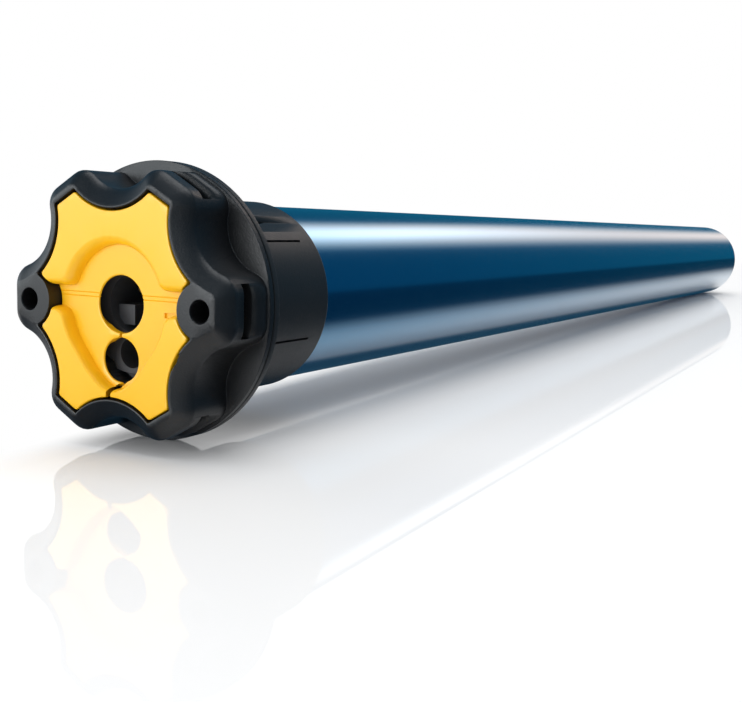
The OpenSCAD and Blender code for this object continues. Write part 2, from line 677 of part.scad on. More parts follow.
// Reduction gear: three planetary stages in one toothed ring
function planet_x1(s) = carrier_x1[s] - carrier_t[s] - PLAY;

function planet_x0(s) = planet_x1(s) - planet_w[s];

module ring_gear() color("silver") difference() {
    rod(ring_x0, housing_x0, inner_r);
    slab(ring_x0 - CUT, housing_x0 + CUT) rotate(180 / RING_TEETH) gear_space(RING_TEETH, gear_module);
}

module sun(x0, x1) slab(x0, x1) gear(SUN_TEETH, gear_module);

module sun_gear() color("goldenrod") difference() {
    sun(planet_x0(0), planet_x1(0));
    rod(planet_x0(0) - CUT, planet_x1(0) + CUT, shaft_r);
}

module planet(s, k) around(120 * k, orbit_r) difference() {
    slab(planet_x0(s), planet_x1(s)) rotate(180 / PLANET_TEETH) gear(PLANET_TEETH, gear_module);
    rod(planet_x0(s) - CUT, planet_x1(s) + CUT, planet_pin_r + RUN);
}

module carrier(s) {
    rod(carrier_x1[s] - carrier_t[s], carrier_x1[s], carrier_r);
    for (k = [0:2]) around(120 * k, orbit_r) rod(planet_x0(s) - PLAY / 2, carrier_x1[s], planet_pin_r);
}

module planet_1a() color("khaki") planet(0, 0);
module planet_1b() color("khaki") planet(0, 1);
module planet_1c() color("khaki") planet(0, 2);
module planet_2a() color("khaki") planet(1, 0);
module planet_2b() color("khaki") planet(1, 1);
module planet_2c() color("khaki") planet(1, 2);
module planet_3a() color("khaki") planet(2, 0);
module planet_3b() color("khaki") planet(2, 1);
module planet_3c() color("khaki") planet(2, 2);

module carrier_1() color("lightsteelblue") {
    carrier(0);
    sun(carrier_x1[0], planet_x1(1));
}

module carrier_2() color("lightsteelblue") {
    carrier(1);
    sun(carrier_x1[1], planet_x1(2));
}

// Output shaft, its bush and the housing that closes the tube
CIRCLIP_T = 1.2;
CIRCLIP_OUT = 2.2;
circlip_x0 = body_len + 0.2;

module output_shaft() color("silver") difference() {
    union() {
        carrier(2);
        rod(carrier_x1[2], circlip_x0 + CIRCLIP_T + 1, output_r);
        intersection() {
            block(body_len, spindle_x1, -spindle_square / 2, spindle_square / 2,
                -spindle_square / 2, spindle_square / 2);
            rod(body_len, spindle_x1, output_r - 0.6);
        }
    }
    ring(circlip_x0, circlip_x0 + CIRCLIP_T, output_r + CUT, output_r - 1);
    rod(spindle_x1 - spindle_thread_depth, spindle_x1 + CUT, spindle_thread_d / 2);
}

OUTPUT_BUSH_WALL = 3;

module output_bush() color("darkgoldenrod")
    ring(housing_x0 + 1, body_len - 1, output_r + OUTPUT_BUSH_WALL, output_r + RUN);

module end_housing() color("dimgray") difference() {
    union() {
        rod(housing_x0, tube_x1, inner_r);
        rod(tube_x1, body_len, tube_r - 0.2);
    }
    rod(housing_x0 - CUT, body_len + CUT, output_r + PLAY);
    rod(housing_x0 + 1, body_len + CUT, output_r + OUTPUT_BUSH_WALL);
}

module shaft_circlip() color("silver") difference() {
    ring(circlip_x0 + SEAT, circlip_x0 + CIRCLIP_T - SEAT, output_r + CIRCLIP_OUT, output_r - 1 + SEAT / 2);
    block(circlip_x0, circlip_x0 + CIRCLIP_T, 0, output_r + CIRCLIP_OUT + CUT, -3, 3);
}

head_housing();
face_plate();
crown();
motor_tube();
tube_adapter();
socket_insert();
socket_pins();
limit_frame();
limit_spindle();
limit_pinion();
cam_wheel_up();
cam_wheel_down();
microswitch_up();
microswitch_down();
switch_lever_up();
switch_lever_down();
capacitor();
capacitor_cradle();
motor_leads();
front_bell();
rear_bell();
front_bush();
rear_bush();
stator_core();
stator_winding();
rotor_core();
motor_shaft();
brake_magnet();
brake_coil();
brake_spring();
brake_armature();
brake_disc();
brake_plate();
ring_gear();
sun_gear();
planet_1a();
planet_1b();
planet_1c();
planet_2a();
planet_2b();
planet_2c();
planet_3a();
planet_3b();
planet_3c();
carrier_1();
carrier_2();
output_shaft();
output_bush();
end_housing();
shaft_circlip();
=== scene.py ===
import json
import logging
import math
from dataclasses import dataclass, field, replace
from enum import Enum
from typing import Callable, Iterable, Sequence

import bmesh
import bpy
import numpy as np
from mathutils import Matrix, Vector
from mathutils.geometry import delaunay_2d_cdt


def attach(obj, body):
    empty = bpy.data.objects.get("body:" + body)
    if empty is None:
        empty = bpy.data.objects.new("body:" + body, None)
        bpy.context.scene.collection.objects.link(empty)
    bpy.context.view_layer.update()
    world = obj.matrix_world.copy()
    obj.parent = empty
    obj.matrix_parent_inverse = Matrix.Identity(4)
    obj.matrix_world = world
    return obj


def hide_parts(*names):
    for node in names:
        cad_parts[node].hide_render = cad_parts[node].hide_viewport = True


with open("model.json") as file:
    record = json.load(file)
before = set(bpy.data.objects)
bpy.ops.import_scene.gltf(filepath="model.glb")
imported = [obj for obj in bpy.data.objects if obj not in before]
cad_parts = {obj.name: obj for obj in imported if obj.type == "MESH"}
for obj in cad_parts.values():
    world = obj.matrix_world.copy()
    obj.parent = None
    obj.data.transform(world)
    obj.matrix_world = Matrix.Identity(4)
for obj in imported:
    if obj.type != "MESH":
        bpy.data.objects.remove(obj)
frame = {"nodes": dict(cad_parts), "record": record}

logging.basicConfig(level=logging.INFO, format="%(message)s")
log = logging.getLogger("motor")

# A millimetre in metres, and a metre in millimetres.
MM = 0.001
PER_METRE = 1000.0
# How far a cutting tool reaches past the surface that it opens, in millimetres.
PAST = 2.0
# Points of a mesh closer than WELD become one, and shorter edges than SLIVER go, in metres.
WELD = 2e-6
SLIVER = 1e-7
# Corners of a flat net closer than this are one, in millimetres.
CLOSE = 1e-4
# Added to a length, so that dividing by it can't fail.
TINY = 1e-12
# Edges that bend by more degrees than this stay sharp.
SHARP_ANGLE = 30.0
Point2 = tuple[float, float]
Point3 = tuple[float, float, float]
Outline = list[Point2]


# ---------------------------------------------------------------- shader graphs


# The rays that see the studio's white, and the mark of a ray that leaves a perfect mirror.
SEEN_RAYS = ("Is Camera Ray", "Is Glossy Ray", "Is Transmission Ray")
SHARP_RAY = "Is Singular Ray"
# Room between the nodes in the editor, and the rows that they fill.
NODE_GAP = (180.0, 200.0)
NODE_ROWS = 5


class Wire:
    """An output socket of a number. Arithmetic on it adds Math nodes."""

    def __init__(self, graph: "Graph", socket: bpy.types.NodeSocket) -> None:
        """Keeps the socket and the graph that it belongs to."""
        self.graph = graph
        self.socket = socket

    def __add__(self, other: "Wire | float") -> "Wire":
        """This plus the other."""
        return self.graph.math("ADD", self, other)

    def __radd__(self, other: float) -> "Wire":
        """The other plus this."""
        return self.graph.math("ADD", self, other)

    def __sub__(self, other: "Wire | float") -> "Wire":
        """This less the other."""
        return self.graph.math("SUBTRACT", self, other)

    def __rsub__(self, other: float) -> "Wire":
        """The other less this."""
        return self.graph.math("SUBTRACT", other, self)

    def __mul__(self, other: "Wire | float") -> "Wire":
        """This times the other."""
        return self.graph.math("MULTIPLY", self, other)

    def __rmul__(self, other: float) -> "Wire":
        """The other times this."""
        return self.graph.math("MULTIPLY", self, other)

    def __truediv__(self, other: "Wire | float") -> "Wire":
        """This divided by the other."""
        return self.graph.math("DIVIDE", self, other)

    def __rtruediv__(self, other: float) -> "Wire":
        """The other divided by this."""
        return self.graph.math("DIVIDE", other, self)

    def __pow__(self, other: "Wire | float") -> "Wire":
        """This to the power of the other."""
        return self.graph.math("POWER", self, other)

    def sine(self) -> "Wire":
        """The sine of this value."""
        return self.graph.math("SINE", self)

    def fraction(self) -> "Wire":
        """What is left of this value above its whole number."""
        return self.graph.math("FRACT", self)

    def clamp(self) -> "Wire":
        """This value, held between 0 and 1."""
        return self.graph.math("ADD", self, 0.0, clamp=True)

    def above(self, low: float, high: float) -> "Wire":
        """A smooth step: 0 below low, 1 above high.

        Args:
            low: where the step starts.
            high: where the step ends.

        Returns:
            The stepped value.
        """
        return self.graph.node("ShaderNodeMapRange", {"interpolation_type": "SMOOTHSTEP"},
                               {"Value": self, "From Min": low, "From Max": high})


class Graph:
    """The node tree of one material or world."""

    def __init__(self, tree: bpy.types.NodeTree) -> None:
        """Empties the tree, so that it holds only what is added here.

        Args:
            tree: the node tree.
        """
        self.tree = tree
        tree.nodes.clear()
        self.count = 0

    def node(self, kind: str, settings: dict | None = None, inputs: dict | None = None, out: int | str = 0) -> Wire:
        """Adds any node.

        Args:
            kind: the node's type name.
            settings: attributes of the node.
            inputs: wires or constants for its inputs, by name or number.
            out: which output the returned wire stands for.

        Returns:
            A wire from that output.
        """
        made = self.tree.nodes.new(kind)
        made.location = (self.count * NODE_GAP[0], -(self.count % NODE_ROWS) * NODE_GAP[1])
        self.count += 1
        for name, value in (settings or {}).items():
            setattr(made, name, value)
        for name, value in (inputs or {}).items():
            self.feed(made.inputs[name], value)
        return Wire(self, made.outputs[out]) if len(made.outputs) else Wire(self, made.inputs[0])

    def feed(self, socket: bpy.types.NodeSocket, value: "Wire | float | Sequence[float]") -> None:
        """Links a wire to a socket, or sets the socket's constant.

        Args:
            socket: the input socket.
            value: what goes into it.
        """
        if isinstance(value, Wire):
            self.tree.links.new(value.socket, socket)
        elif socket.type == "RGBA" and len(value) == 3:
            socket.default_value = (*value, 1.0)
        else:
            socket.default_value = value

    def math(self, operation: str, *values: "Wire | float", clamp: bool = False) -> Wire:
        """Adds a Math node.

        Args:
            operation: the node's operation.
            values: its inputs.
            clamp: whether the result is held between 0 and 1.

        Returns:
            A wire from the result.
        """
        return self.node("ShaderNodeMath", {"operation": operation, "use_clamp": clamp}, dict(enumerate(values)))

    def vector_math(self, operation: str, inputs: dict, out: int | str = 0) -> Wire:
        """Adds a Vector Math node.

        Args:
            operation: the node's operation.
            inputs: wires or constants for its inputs, by name or number.
            out: which output the returned wire stands for.

        Returns:
            A wire from that output.
        """
        return self.node("ShaderNodeVectorMath", {"operation": operation}, inputs, out)

    def parts(self, vector: Wire) -> list[Wire]:
        """Splits a vector.

        Args:
            vector: the vector.

        Returns:
            Wires from its x, y and z.
        """
        split = self.node("ShaderNodeSeparateXYZ", {}, {0: vector})
        return [Wire(self, socket) for socket in split.socket.node.outputs]

    def rays(self) -> list[Wire]:
        """Tells the rays that see the studio's white.

        Returns:
            Wires that are 1 for camera, glossy and transmission rays, in this order.
        """
        return [self.node("ShaderNodeLightPath", out=name) for name in SEEN_RAYS]

    def mix(self, factor: "Wire | float", low: "Wire | Sequence[float]", high: "Wire | Sequence[float]") -> Wire:
        """Mixes two colours.

        Args:
            factor: 0 for low, 1 for high.
            low: the first colour.
            high: the second colour.

        Returns:
            A wire from the mixed colour.
        """
        return self.node("ShaderNodeMix", {"data_type": "RGBA"}, {0: factor, 6: low, 7: high}, out=2)

    def noise(self, vector: Wire, scale: float, detail: float = 2.0) -> Wire:
        """Adds a noise texture.

        Args:
            vector: the place, in metres.
            scale: cells per metre.
            detail: octaves of finer noise.

        Returns:
            A wire from its value.
        """
        return self.node("ShaderNodeTexNoise", {}, {"Vector": vector, "Scale": scale, "Detail": detail})


# ---------------------------------------------------------------- finishes


class Pattern(Enum):
    """How a surface's roughness, colour and height vary."""

    GRAIN = "grain"
    PAINT = "paint"
    BRUSHED = "brushed"
    TURNED = "turned"
    LAMINATED = "laminated"
    WOUND = "wound"
    CAST = "cast"


@dataclass(frozen=True)
class Finish:
    """One procedural surface. Lengths are in millimetres."""

    name: str
    base: Point3
    rough: float
    metal: float = 0.0
    ior: float = 1.5
    coat: float = 0.0
    coat_ior: float = 1.5
    coat_rough: float = 0.05
    pattern: Pattern = Pattern.GRAIN
    mottle: float = 0.08
    rough_vary: float = 0.06
    grain: float = 0.25
    height: float = 0.02


@dataclass(frozen=True)
class Textures:
    """Steps of the repeated patterns in millimetres, noises as (cells per metre, detail), and plain factors."""

    grain_detail: float = 3.0
    broad: Point2 = (60.0, 4.0)
    lamination: float = 0.5
    lamination_gap: Point2 = (0.0, 0.25)
    sheets: float = 40.0
    sheet_noise: Point2 = (50.0, 2.0)
    strand: float = 0.45
    strand_lean: float = 0.35
    brush_stretch: float = 0.03
    lumps: Point2 = (500.0, 4.0)
    lump_share: float = 0.6
    orange_peel: Point2 = (350.0, 1.0)


@dataclass
class Paintshop:
    """Makes each finish's material once."""

    textures: Textures = Textures()
    made: dict[str, bpy.types.Material] = field(default_factory=dict)

    def material(self, finish: Finish) -> bpy.types.Material:
        """The material of a finish.

        Args:
            finish: the finish.

        Returns:
            Its material, made at the first call.
        """
        if finish.name not in self.made:
            self.made[finish.name] = self._build(finish)
            log.info("material %s", finish.name)
        return self.made[finish.name]

    def _build(self, f: Finish) -> bpy.types.Material:
        """Makes a finish's material.

        Args:
            f: the finish.

        Returns:
            The material.
        """
        material = bpy.data.materials.new(f.name)
        material.use_nodes = True
        g = Graph(material.node_tree)
        place = g.node("ShaderNodeTexCoord", out="Object")
        fine = g.noise(place, PER_METRE / f.grain, self.textures.grain_detail)
        broad = g.noise(place, *self.textures.broad)
        height, streak = self._relief(g, f, place, fine)
        tone = 1.0 + (broad - 0.5) * (2.0 * f.mottle) + (streak - 0.5) * f.mottle
        colour = g.vector_math("SCALE", {0: list(f.base), "Scale": tone})
        rough = (f.rough + (broad - 0.5) * f.rough_vary + (streak - 0.5) * f.rough_vary).clamp()
        bump = g.node("ShaderNodeBump", {}, {"Strength": 1.0, "Distance": f.height * MM, "Height": height})
        shader = g.node("ShaderNodeBsdfPrincipled", {}, {
            "Base Color": colour, "Roughness": rough, "Normal": bump, "Metallic": f.metal, "IOR": f.ior,
            "Coat Weight": f.coat, "Coat IOR": f.coat_ior, "Coat Roughness": f.coat_rough,
        })
        g.node("ShaderNodeOutputMaterial", {}, {"Surface": shader})
        return material

    def _relief(self, g: Graph, f: Finish, place: Wire, fine: Wire) -> tuple[Wire, Wire]:
        """Adds the nodes of a finish's pattern.

        Args:
            g: the material's graph.
            f: the finish.
            place: the place on the object.
            fine: the finish's fine noise.

        Returns:
            Height and streak of the pattern, both from 0 to 1.
        """
        t = self.textures
        x, y, z = g.parts(place)
        if f.pattern is Pattern.LAMINATED:
            band = (x * (PER_METRE / t.lamination)).fraction().above(*t.lamination_gap)
            return band, g.noise(g.node("ShaderNodeCombineXYZ", {}, {0: x * t.sheets}), *t.sheet_noise)
        if f.pattern is Pattern.WOUND:
            radius = (y * y + z * z) ** 0.5
            wave = ((radius + x * t.strand_lean) * (2.0 * PER_METRE * math.pi / t.strand)).sine() * 0.5 + 0.5
            return wave, fine
        if f.pattern in (Pattern.BRUSHED, Pattern.TURNED):
            if f.pattern is Pattern.BRUSHED:
                drawn = {0: x * t.brush_stretch, 1: y, 2: z}
            else:
                drawn = {0: x, 1: (y * y + z * z) ** 0.5}
            streak = g.noise(g.node("ShaderNodeCombineXYZ", {}, drawn), PER_METRE / f.grain)
            return streak, streak
        if f.pattern is Pattern.CAST:
            lumps = g.noise(place, *t.lumps)
            return lumps * t.lump_share + fine * (1.0 - t.lump_share), lumps
        if f.pattern is Pattern.PAINT:
            return g.noise(place, *t.orange_peel), fine
        return fine, fine


BLACK = Finish("black_plastic", (0.007, 0.0074, 0.0085), 0.42, ior=1.5, grain=0.45, height=0.04, mottle=0.12,
               rough_vary=0.2)
CROWN = replace(BLACK, name="crown_plastic", base=(0.012, 0.0125, 0.0135), rough=0.44, ior=1.45)
YELLOW = Finish("yellow_plastic", (0.98, 0.53, 0.004), 0.34, ior=1.62, grain=0.3, height=0.006, mottle=0.02)
PAINT = Finish("blue_paint", (0.055, 0.255, 0.45), 0.2, metal=1.0, coat=1.0, coat_ior=1.48, coat_rough=0.08,
               pattern=Pattern.PAINT, height=0.001, mottle=0.04, rough_vary=0.02)
GREY = Finish("grey_plastic", (0.045, 0.047, 0.052), 0.42, height=0.015)
WHITE = Finish("white_plastic", (0.72, 0.72, 0.69), 0.4, height=0.006, mottle=0.03)
LEAD = Finish("lead_insulation", (0.20, 0.075, 0.03), 0.45, height=0.006)
STEEL = Finish("steel", (0.56, 0.57, 0.58), 0.3, metal=1.0, pattern=Pattern.TURNED, grain=0.3, height=0.004)
SHEET = replace(STEEL, name="spring_steel", rough=0.36, pattern=Pattern.BRUSHED)
CORE = Finish("iron_core", (0.33, 0.34, 0.36), 0.42, metal=1.0, pattern=Pattern.LAMINATED, height=0.03)
CAST = Finish("die_cast", (0.50, 0.51, 0.52), 0.5, metal=1.0, pattern=Pattern.CAST, height=0.03)
BRONZE = Finish("bronze", (0.62, 0.40, 0.17), 0.34, metal=1.0, pattern=Pattern.TURNED, height=0.006)
COPPER = Finish("copper", (0.70, 0.30, 0.13), 0.3, metal=1.0, pattern=Pattern.WOUND, height=0.06)
LINING = Finish("friction_lining", (0.14, 0.105, 0.085), 0.8, pattern=Pattern.CAST, height=0.05, mottle=0.3)
FINISHES = (BLACK, CROWN, YELLOW, PAINT, GREY, WHITE, LEAD, STEEL, CORE, CAST, BRONZE, COPPER, LINING)
SLOTS = {finish.name: finish for finish in FINISHES}
OWN_FINISH = {"switch_lever_up": SHEET, "switch_lever_down": SHEET, "brake_spring": SHEET}


# ---------------------------------------------------------------- outlines and shells


def circle(radius: float, centre: Point2 = (0.0, 0.0), count: int = 288) -> Outline:
    """A round outline.

    Args:
        radius: its radius.
        centre: its middle.
        count: its points.

    Returns:
        The points, anticlockwise.
    """
    return arc(centre, radius, 0.0, 2.0 * math.pi, count)


def arc(centre: Point2, radius: float, start: float, end: float, count: int) -> Outline:
    """Points along an arc, without its last one.

    Args:
        centre: the arc's centre.
        radius: its radius.
        start: the first direction, in radians.
        end: the last direction.
        count: how many points.

    Returns:
        The points.
    """
    steps = (start + (end - start) * i / count for i in range(count))
    return [(centre[0] + radius * math.cos(a), centre[1] + radius * math.sin(a)) for a in steps]


@dataclass(frozen=True)
class Star:
    """The six-lobed outline of the head, whose lobes have flat ends and round hollows between them."""

    lobes: int = 6
    flat_r: float = 26.1
    hollow_centre: Point2 = (30.917, 17.85)
    hollow_r: float = 15.5
    screw_r: float = 24.0
    corner_steps: int = 6
    flat_steps: int = 16
    hollow_steps: int = 20

    def outline(self, flat: float, hollow: float, corner: float, bite: float = 0.0) -> Outline:
        """The star, grown at its lobes and hollows.

        Args:
            flat: how far the lobes' ends are moved out.
            hollow: how far the hollows' walls are moved out.
            corner: radius of the lobes' corners.
            bite: radius of the disc taken out at each screw, or 0.

        Returns:
            The points, anticlockwise from the lobe at +Y.
        """
        screwed = (0, self.lobes // 2)
        ends = [self._lobe(flat, hollow, corner, bite if k in screwed else 0.0) for k in range(self.lobes)]
        step = 360.0 / self.lobes
        points: Outline = []
        for k in range(self.lobes):
            local, turn = ends[k]
            far = math.radians(180.0 + step) - ends[(k + 1) % self.lobes][1]
            local = local + arc(self.hollow_centre, self.hollow_r - hollow, turn + math.pi, far, self.hollow_steps)
            c, s = math.cos(math.radians(step * k)), math.sin(math.radians(step * k))
            points += [(u * c - v * s, u * s + v * c) for u, v in local]
        return points

    def _lobe(self, flat: float, hollow: float, corner: float, bite: float) -> tuple[Outline, float]:
        """One lobe's end.

        Args:
            flat: how far the lobe's end is moved out.
            hollow: how far the hollows' walls are moved out.
            corner: radius of the lobe's corners.
            bite: radius of the disc taken out at the screw, or 0.

        Returns:
            The points up to the hollow after the lobe, and the direction in which that hollow begins.
        """
        cx, cy = self.hollow_centre
        reach = self.hollow_r - hollow + corner
        if bite:
            near = bite + corner
            dx, dy = cx - self.screw_r, cy
            span = math.hypot(dx, dy)
            along = (near ** 2 - reach ** 2 + span ** 2) / (2.0 * span)
            off = math.sqrt(near ** 2 - along ** 2)
            u = self.screw_r + along * dx / span - off * dy / span
            v = along * dy / span + off * dx / span
            inward = math.atan2(-v, self.screw_r - u)
            turn = math.atan2(cy - v, cx - u)
            swing = math.atan2(v, u - self.screw_r)
            first = arc((u, -v), corner, -turn, -inward, self.corner_steps)
            middle = arc((self.screw_r, 0.0), bite, 2.0 * math.pi - swing, swing, self.flat_steps)
            last = arc((u, v), corner, inward, turn, self.corner_steps)
            return first + middle + last, turn
        u = self.flat_r + flat - corner
        v = cy - math.sqrt(reach ** 2 - (u - cx) ** 2)
        turn = math.atan2(cy - v, cx - u)
        first = arc((u, -v), corner, -turn, 0.0, self.corner_steps)
        middle = [(self.flat_r + flat, -v + 2.0 * v * i / self.flat_steps) for i in range(self.flat_steps)]
        last = arc((u, v), corner, 0.0, turn, self.corner_steps)
        return first + middle + last, turn


def inside(point: Point2, outline: Outline) -> bool:
    """Whether a point lies inside a closed outline.

    Args:
        point: the point.
        outline: the outline.

    Returns:
        True inside.
    """
    px, py = point
    hit = False
    ax, ay = outline[-1]
    for bx, by in outline:
        if (ay > py) != (by > py) and px < (bx - ax) * (py - ay) / (by - ay) + ax:
            hit = not hit
        ax, ay = bx, by
    return hit


def fill_plane(loops: Sequence[Outline], keep: Callable[[Point2], bool],
               lines: Sequence[Outline] = ()) -> tuple[list[Point2], list[tuple[int, ...]]]:
    """Triangles between outlines in a plane.

    Args:
        loops: closed outlines that the triangles follow.
        keep: tells from a triangle's middle whether it stays.
        lines: open lines that the triangles follow too.

    Returns:
        The points, and each kept triangle's point numbers.
    """
    points: list[Vector] = []
    edges: list[tuple[int, int]] = []
    for closed, group in ((True, loops), (False, lines)):
        for line in group:
            start = len(points)
            points += [Vector(p) for p in line]
            edges += [(start + i, start + i + 1) for i in range(len(line) - 1)]
            if closed:
                edges.append((start + len(line) - 1, start))
    made, _, faces, *_ = delaunay_2d_cdt(points, edges, [], 0, CLOSE, False)
    flat = [(p.x, p.y) for p in made]
    kept = []
    for face in faces:
        middle = (sum(flat[i][0] for i in face) / 3.0, sum(flat[i][1] for i in face) / 3.0)
        if keep(middle):
            kept.append(tuple(face))
    return flat, kept


@dataclass
class Shell:
    """A closed surface made of rings, the bands between them and flat fills, in millimetres."""

    name: str
    points: list[Point3] = field(default_factory=list)
    faces: list[tuple[int, ...]] = field(default_factory=list)

    def ring(self, x: float, outline: Iterable[Point2]) -> list[int]:
        """Adds an outline at a place along the motor.

        Args:
            x: the place along the axis.
            outline: the outline's points.

        Returns:
            The points' numbers.
        """
        start = len(self.points)
        self.points += [(x, y, z) for y, z in outline]
        return list(range(start, len(self.points)))

    def band(self, a: Sequence[int], b: Sequence[int]) -> None:
        """Joins two rings that have as many points.

        Args:
            a: the first ring.
            b: the second ring.
        """
        n = len(a)
        self.faces += [(a[i], a[(i + 1) % n], b[(i + 1) % n], b[i]) for i in range(n)]

    def loft(self, rings: Sequence[Sequence[int]]) -> None:
        """Joins each ring to the next.

        Args:
            rings: the rings in order.
        """
        for a, b in zip(rings, rings[1:]):
            self.band(a, b)

    def cap(self, x: float, loops: Sequence[Outline]) -> None:
        """Fills the flat area between nested outlines.

        Args:
            x: the plane's place along the axis.
            loops: the outlines, of which a point inside an odd number is filled.
        """
        flat, faces = fill_plane(loops, lambda p: sum(inside(p, loop) for loop in loops) % 2 == 1)
        start = len(self.points)
        self.points += [(x, y, z) for y, z in flat]
        self.faces += [tuple(start + i for i in f) for f in faces]

    def turn(self, profile: Sequence[Point2], count: int = 192) -> None:
        """Adds a closed surface of revolution about the motor's axis.

        Args:
            profile: (x, radius) corners of the closed section.
            count: steps round the axis.
        """
        rings = [self.ring(x, circle(r, count=count)) for x, r in profile]
        self.loft(rings + [rings[0]])

    def build(self, sharp: float = SHARP_ANGLE) -> bpy.types.Object:
        """Makes the object, in metres.

        Args:
            sharp: edges that bend more than this many degrees stay sharp.

        Returns:
            The object, linked to the scene.
        """
        mesh = bpy.data.meshes.new(self.name)
        mesh.from_pydata([tuple(c * MM for c in p) for p in self.points], [], self.faces)
        tidy_mesh(mesh)
        made = bpy.data.objects.new(self.name, mesh)
        bpy.context.scene.collection.objects.link(made)
        shade(made, sharp)
        return made


def tidy_mesh(mesh: bpy.types.Mesh) -> None:
    """Welds a mesh's points and turns its faces outwards.

    Args:
        mesh: the mesh.
    """
    bm = bmesh.new()
    bm.from_mesh(mesh)
    bmesh.ops.remove_doubles(bm, verts=bm.verts, dist=WELD)
    bmesh.ops.dissolve_degenerate(bm, edges=bm.edges, dist=SLIVER)
    bmesh.ops.recalc_face_normals(bm, faces=bm.faces)
    bm.to_mesh(mesh)
    bm.free()


def shade(piece: bpy.types.Object, sharp: float) -> None:
    """Smooth shading with sharp edges kept.

    Args:
        piece: the object.
        sharp: the angle in degrees above which an edge is sharp.
    """
    piece.data.shade_smooth()
    piece.data.set_sharp_from_angle(angle=math.radians(sharp))
    weighted = piece.modifiers.new("even_shading", "WEIGHTED_NORMAL")
    weighted.keep_sharp = True


@dataclass
class Cutter:
    """Takes tool bodies out of a piece."""

    piece: bpy.types.Object
    tools: list[bpy.types.Object] = field(default_factory=list)

    def prism(self, x0: float, x1: float, outline: Outline) -> "Cutter":
        """Adds a tool that runs along the axis.

        Args:
            x0: its start.
            x1: its end.
            outline: its section.

        Returns:
            The cutter itself.
        """
        shell = Shell("tool")
        shell.band(shell.ring(x0, outline), shell.ring(x1, outline))
        for x in (x0, x1):
            shell.cap(x, [outline])
        self.tools.append(shell.build())
        return self

    def solid(self, corners: Sequence[Point3], faces: Sequence[tuple[int, ...]],
              turn: float = 0.0) -> "Cutter":
        """Adds a tool from its corners, turned about the axis.

        Args:
            corners: (x, radial, tangential) corners.
            faces: the corners of each face.
            turn: the angle about the axis from +Y, in degrees.

        Returns:
            The cutter itself.
        """
        c, s = math.cos(math.radians(turn)), math.sin(math.radians(turn))
        shell = Shell("tool")
        shell.points = [(x, u * c - v * s, u * s + v * c) for x, u, v in corners]
        shell.faces = list(faces)
        self.tools.append(shell.build())
        return self

    def block(self, x: Point2, u: Point2, v: Point2, turn: float = 0.0) -> "Cutter":
        """Adds a block as a tool.

        Args:
            x: its range along the axis.
            u: its radial range.
            v: its tangential range.
            turn: the angle about the axis from +Y, in degrees.

        Returns:
            The cutter itself.
        """
        corners = [(a, b, c) for a in x for b in u for c in v]
        faces = [(0, 1, 3, 2), (4, 6, 7, 5), (0, 4, 5, 1), (2, 3, 7, 6), (0, 2, 6, 4), (1, 5, 7, 3)]
        return self.solid(corners, faces, turn)

    def cut(self) -> bpy.types.Object:
        """Takes all tools out of the piece.

        Returns:
            The piece.
        """
        self.piece.modifiers.clear()
        for tool in self.tools:
            taken = self.piece.modifiers.new("cut", "BOOLEAN")
            taken.operation = "DIFFERENCE"
            taken.solver = "EXACT"
            taken.object = tool
        done = bpy.data.meshes.new_from_object(self.piece.evaluated_get(bpy.context.evaluated_depsgraph_get()))
        self.piece.modifiers.clear()
        self.piece.data = done
        for tool in self.tools:
            bpy.data.objects.remove(tool)
        tidy_mesh(done)
        shade(self.piece, SHARP_ANGLE)
        return self.piece


# ---------------------------------------------------------------- sub-assemblies


@dataclass
class SubAssembly:
    """A group of pieces that belong together."""

    shop: Paintshop

    def finish_piece(self, piece: bpy.types.Object, finish: Finish, body: str, *nodes: str) -> bpy.types.Object:
        """Gives a piece its material, its body and the nodes it stands for.

        Args:
            piece: the new piece.
            finish: its finish.
            body: the body on which it rides.
            nodes: the nodes that it replaces.

        Returns:
            The piece.
        """
        piece.data.materials.clear()
        piece.data.materials.append(self.shop.material(finish))
        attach(piece, body)
        if nodes:
            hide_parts(*nodes)
        log.info("%s: %d faces on %s", piece.name, len(piece.data.polygons), body)
        return piece


@dataclass(frozen=True)
class HeadSizes:
    """Sizes of the head housing, in millimetres and degrees."""

    star: Star = Star()
    rim_flat: float = 1.6
    rim_hollow: float = 0.8
    rim_corner: float = 1.4
    body_grow: float = 4.6
    edge_len: float = 3.5
    edge_bend: float = 0.45
    edge_turn: float = 0.62
    edge_steps: int = 12
    crease: float = 38.0
    star_x: float = 14.5
    back_x: float = 16.0
    foot: tuple[Point2, ...] = ((-0.3, 0.0), (-0.1, 0.06), (0.0, 0.22))
    flange_r: float = 31.5
    flange_edge: float = 0.2
    neck: tuple[Point2, ...] = ((16.0, 18.2), (16.2, 18.0), (36.3, 18.0), (36.6, 17.7), (36.6, 17.4), (53.7, 17.4),
                                (54.0, 17.1), (54.0, 15.6), (7.0, 15.6), (7.0, 14.2), (5.3, 14.2), (5.0, 14.5))
    pocket_x: float = 5.0
    pocket_gap: float = 0.35
    pocket_bite: float = 6.05
    pocket_lip: tuple[Point3, ...] = ((0.2, 0.0, 0.5), (0.06, 0.06, 0.46), (0.0, 0.2, 0.4))
    screw_r: float = 2.3
    screw_edge: float = 0.3
    screw_steps: int = 64
    screw_depth: float = 13.0
    slot_x: Point2 = (6.1, 8.8)
    slot_floor: float = 27.0
    slot_len: float = 11.6
    lead_r: float = 5.25
    lead_z: float = -12.2
    lead_x: Point2 = (4.6, 9.0)
    lead_steps: int = 96
    window_x: Point2 = (37.6, 56.0)
    window_w: float = 6.6
    window_z: float = 8.0
    recess: tuple[Point2, ...] = ((-18.3, -8.6), (-17.0, -10.6), (-16.0, -12.6), (-16.9, -12.7), (-18.1, -10.9),
                                  (-18.9, -9.3))
    recess_x: Point2 = (-1.0, 3.0)


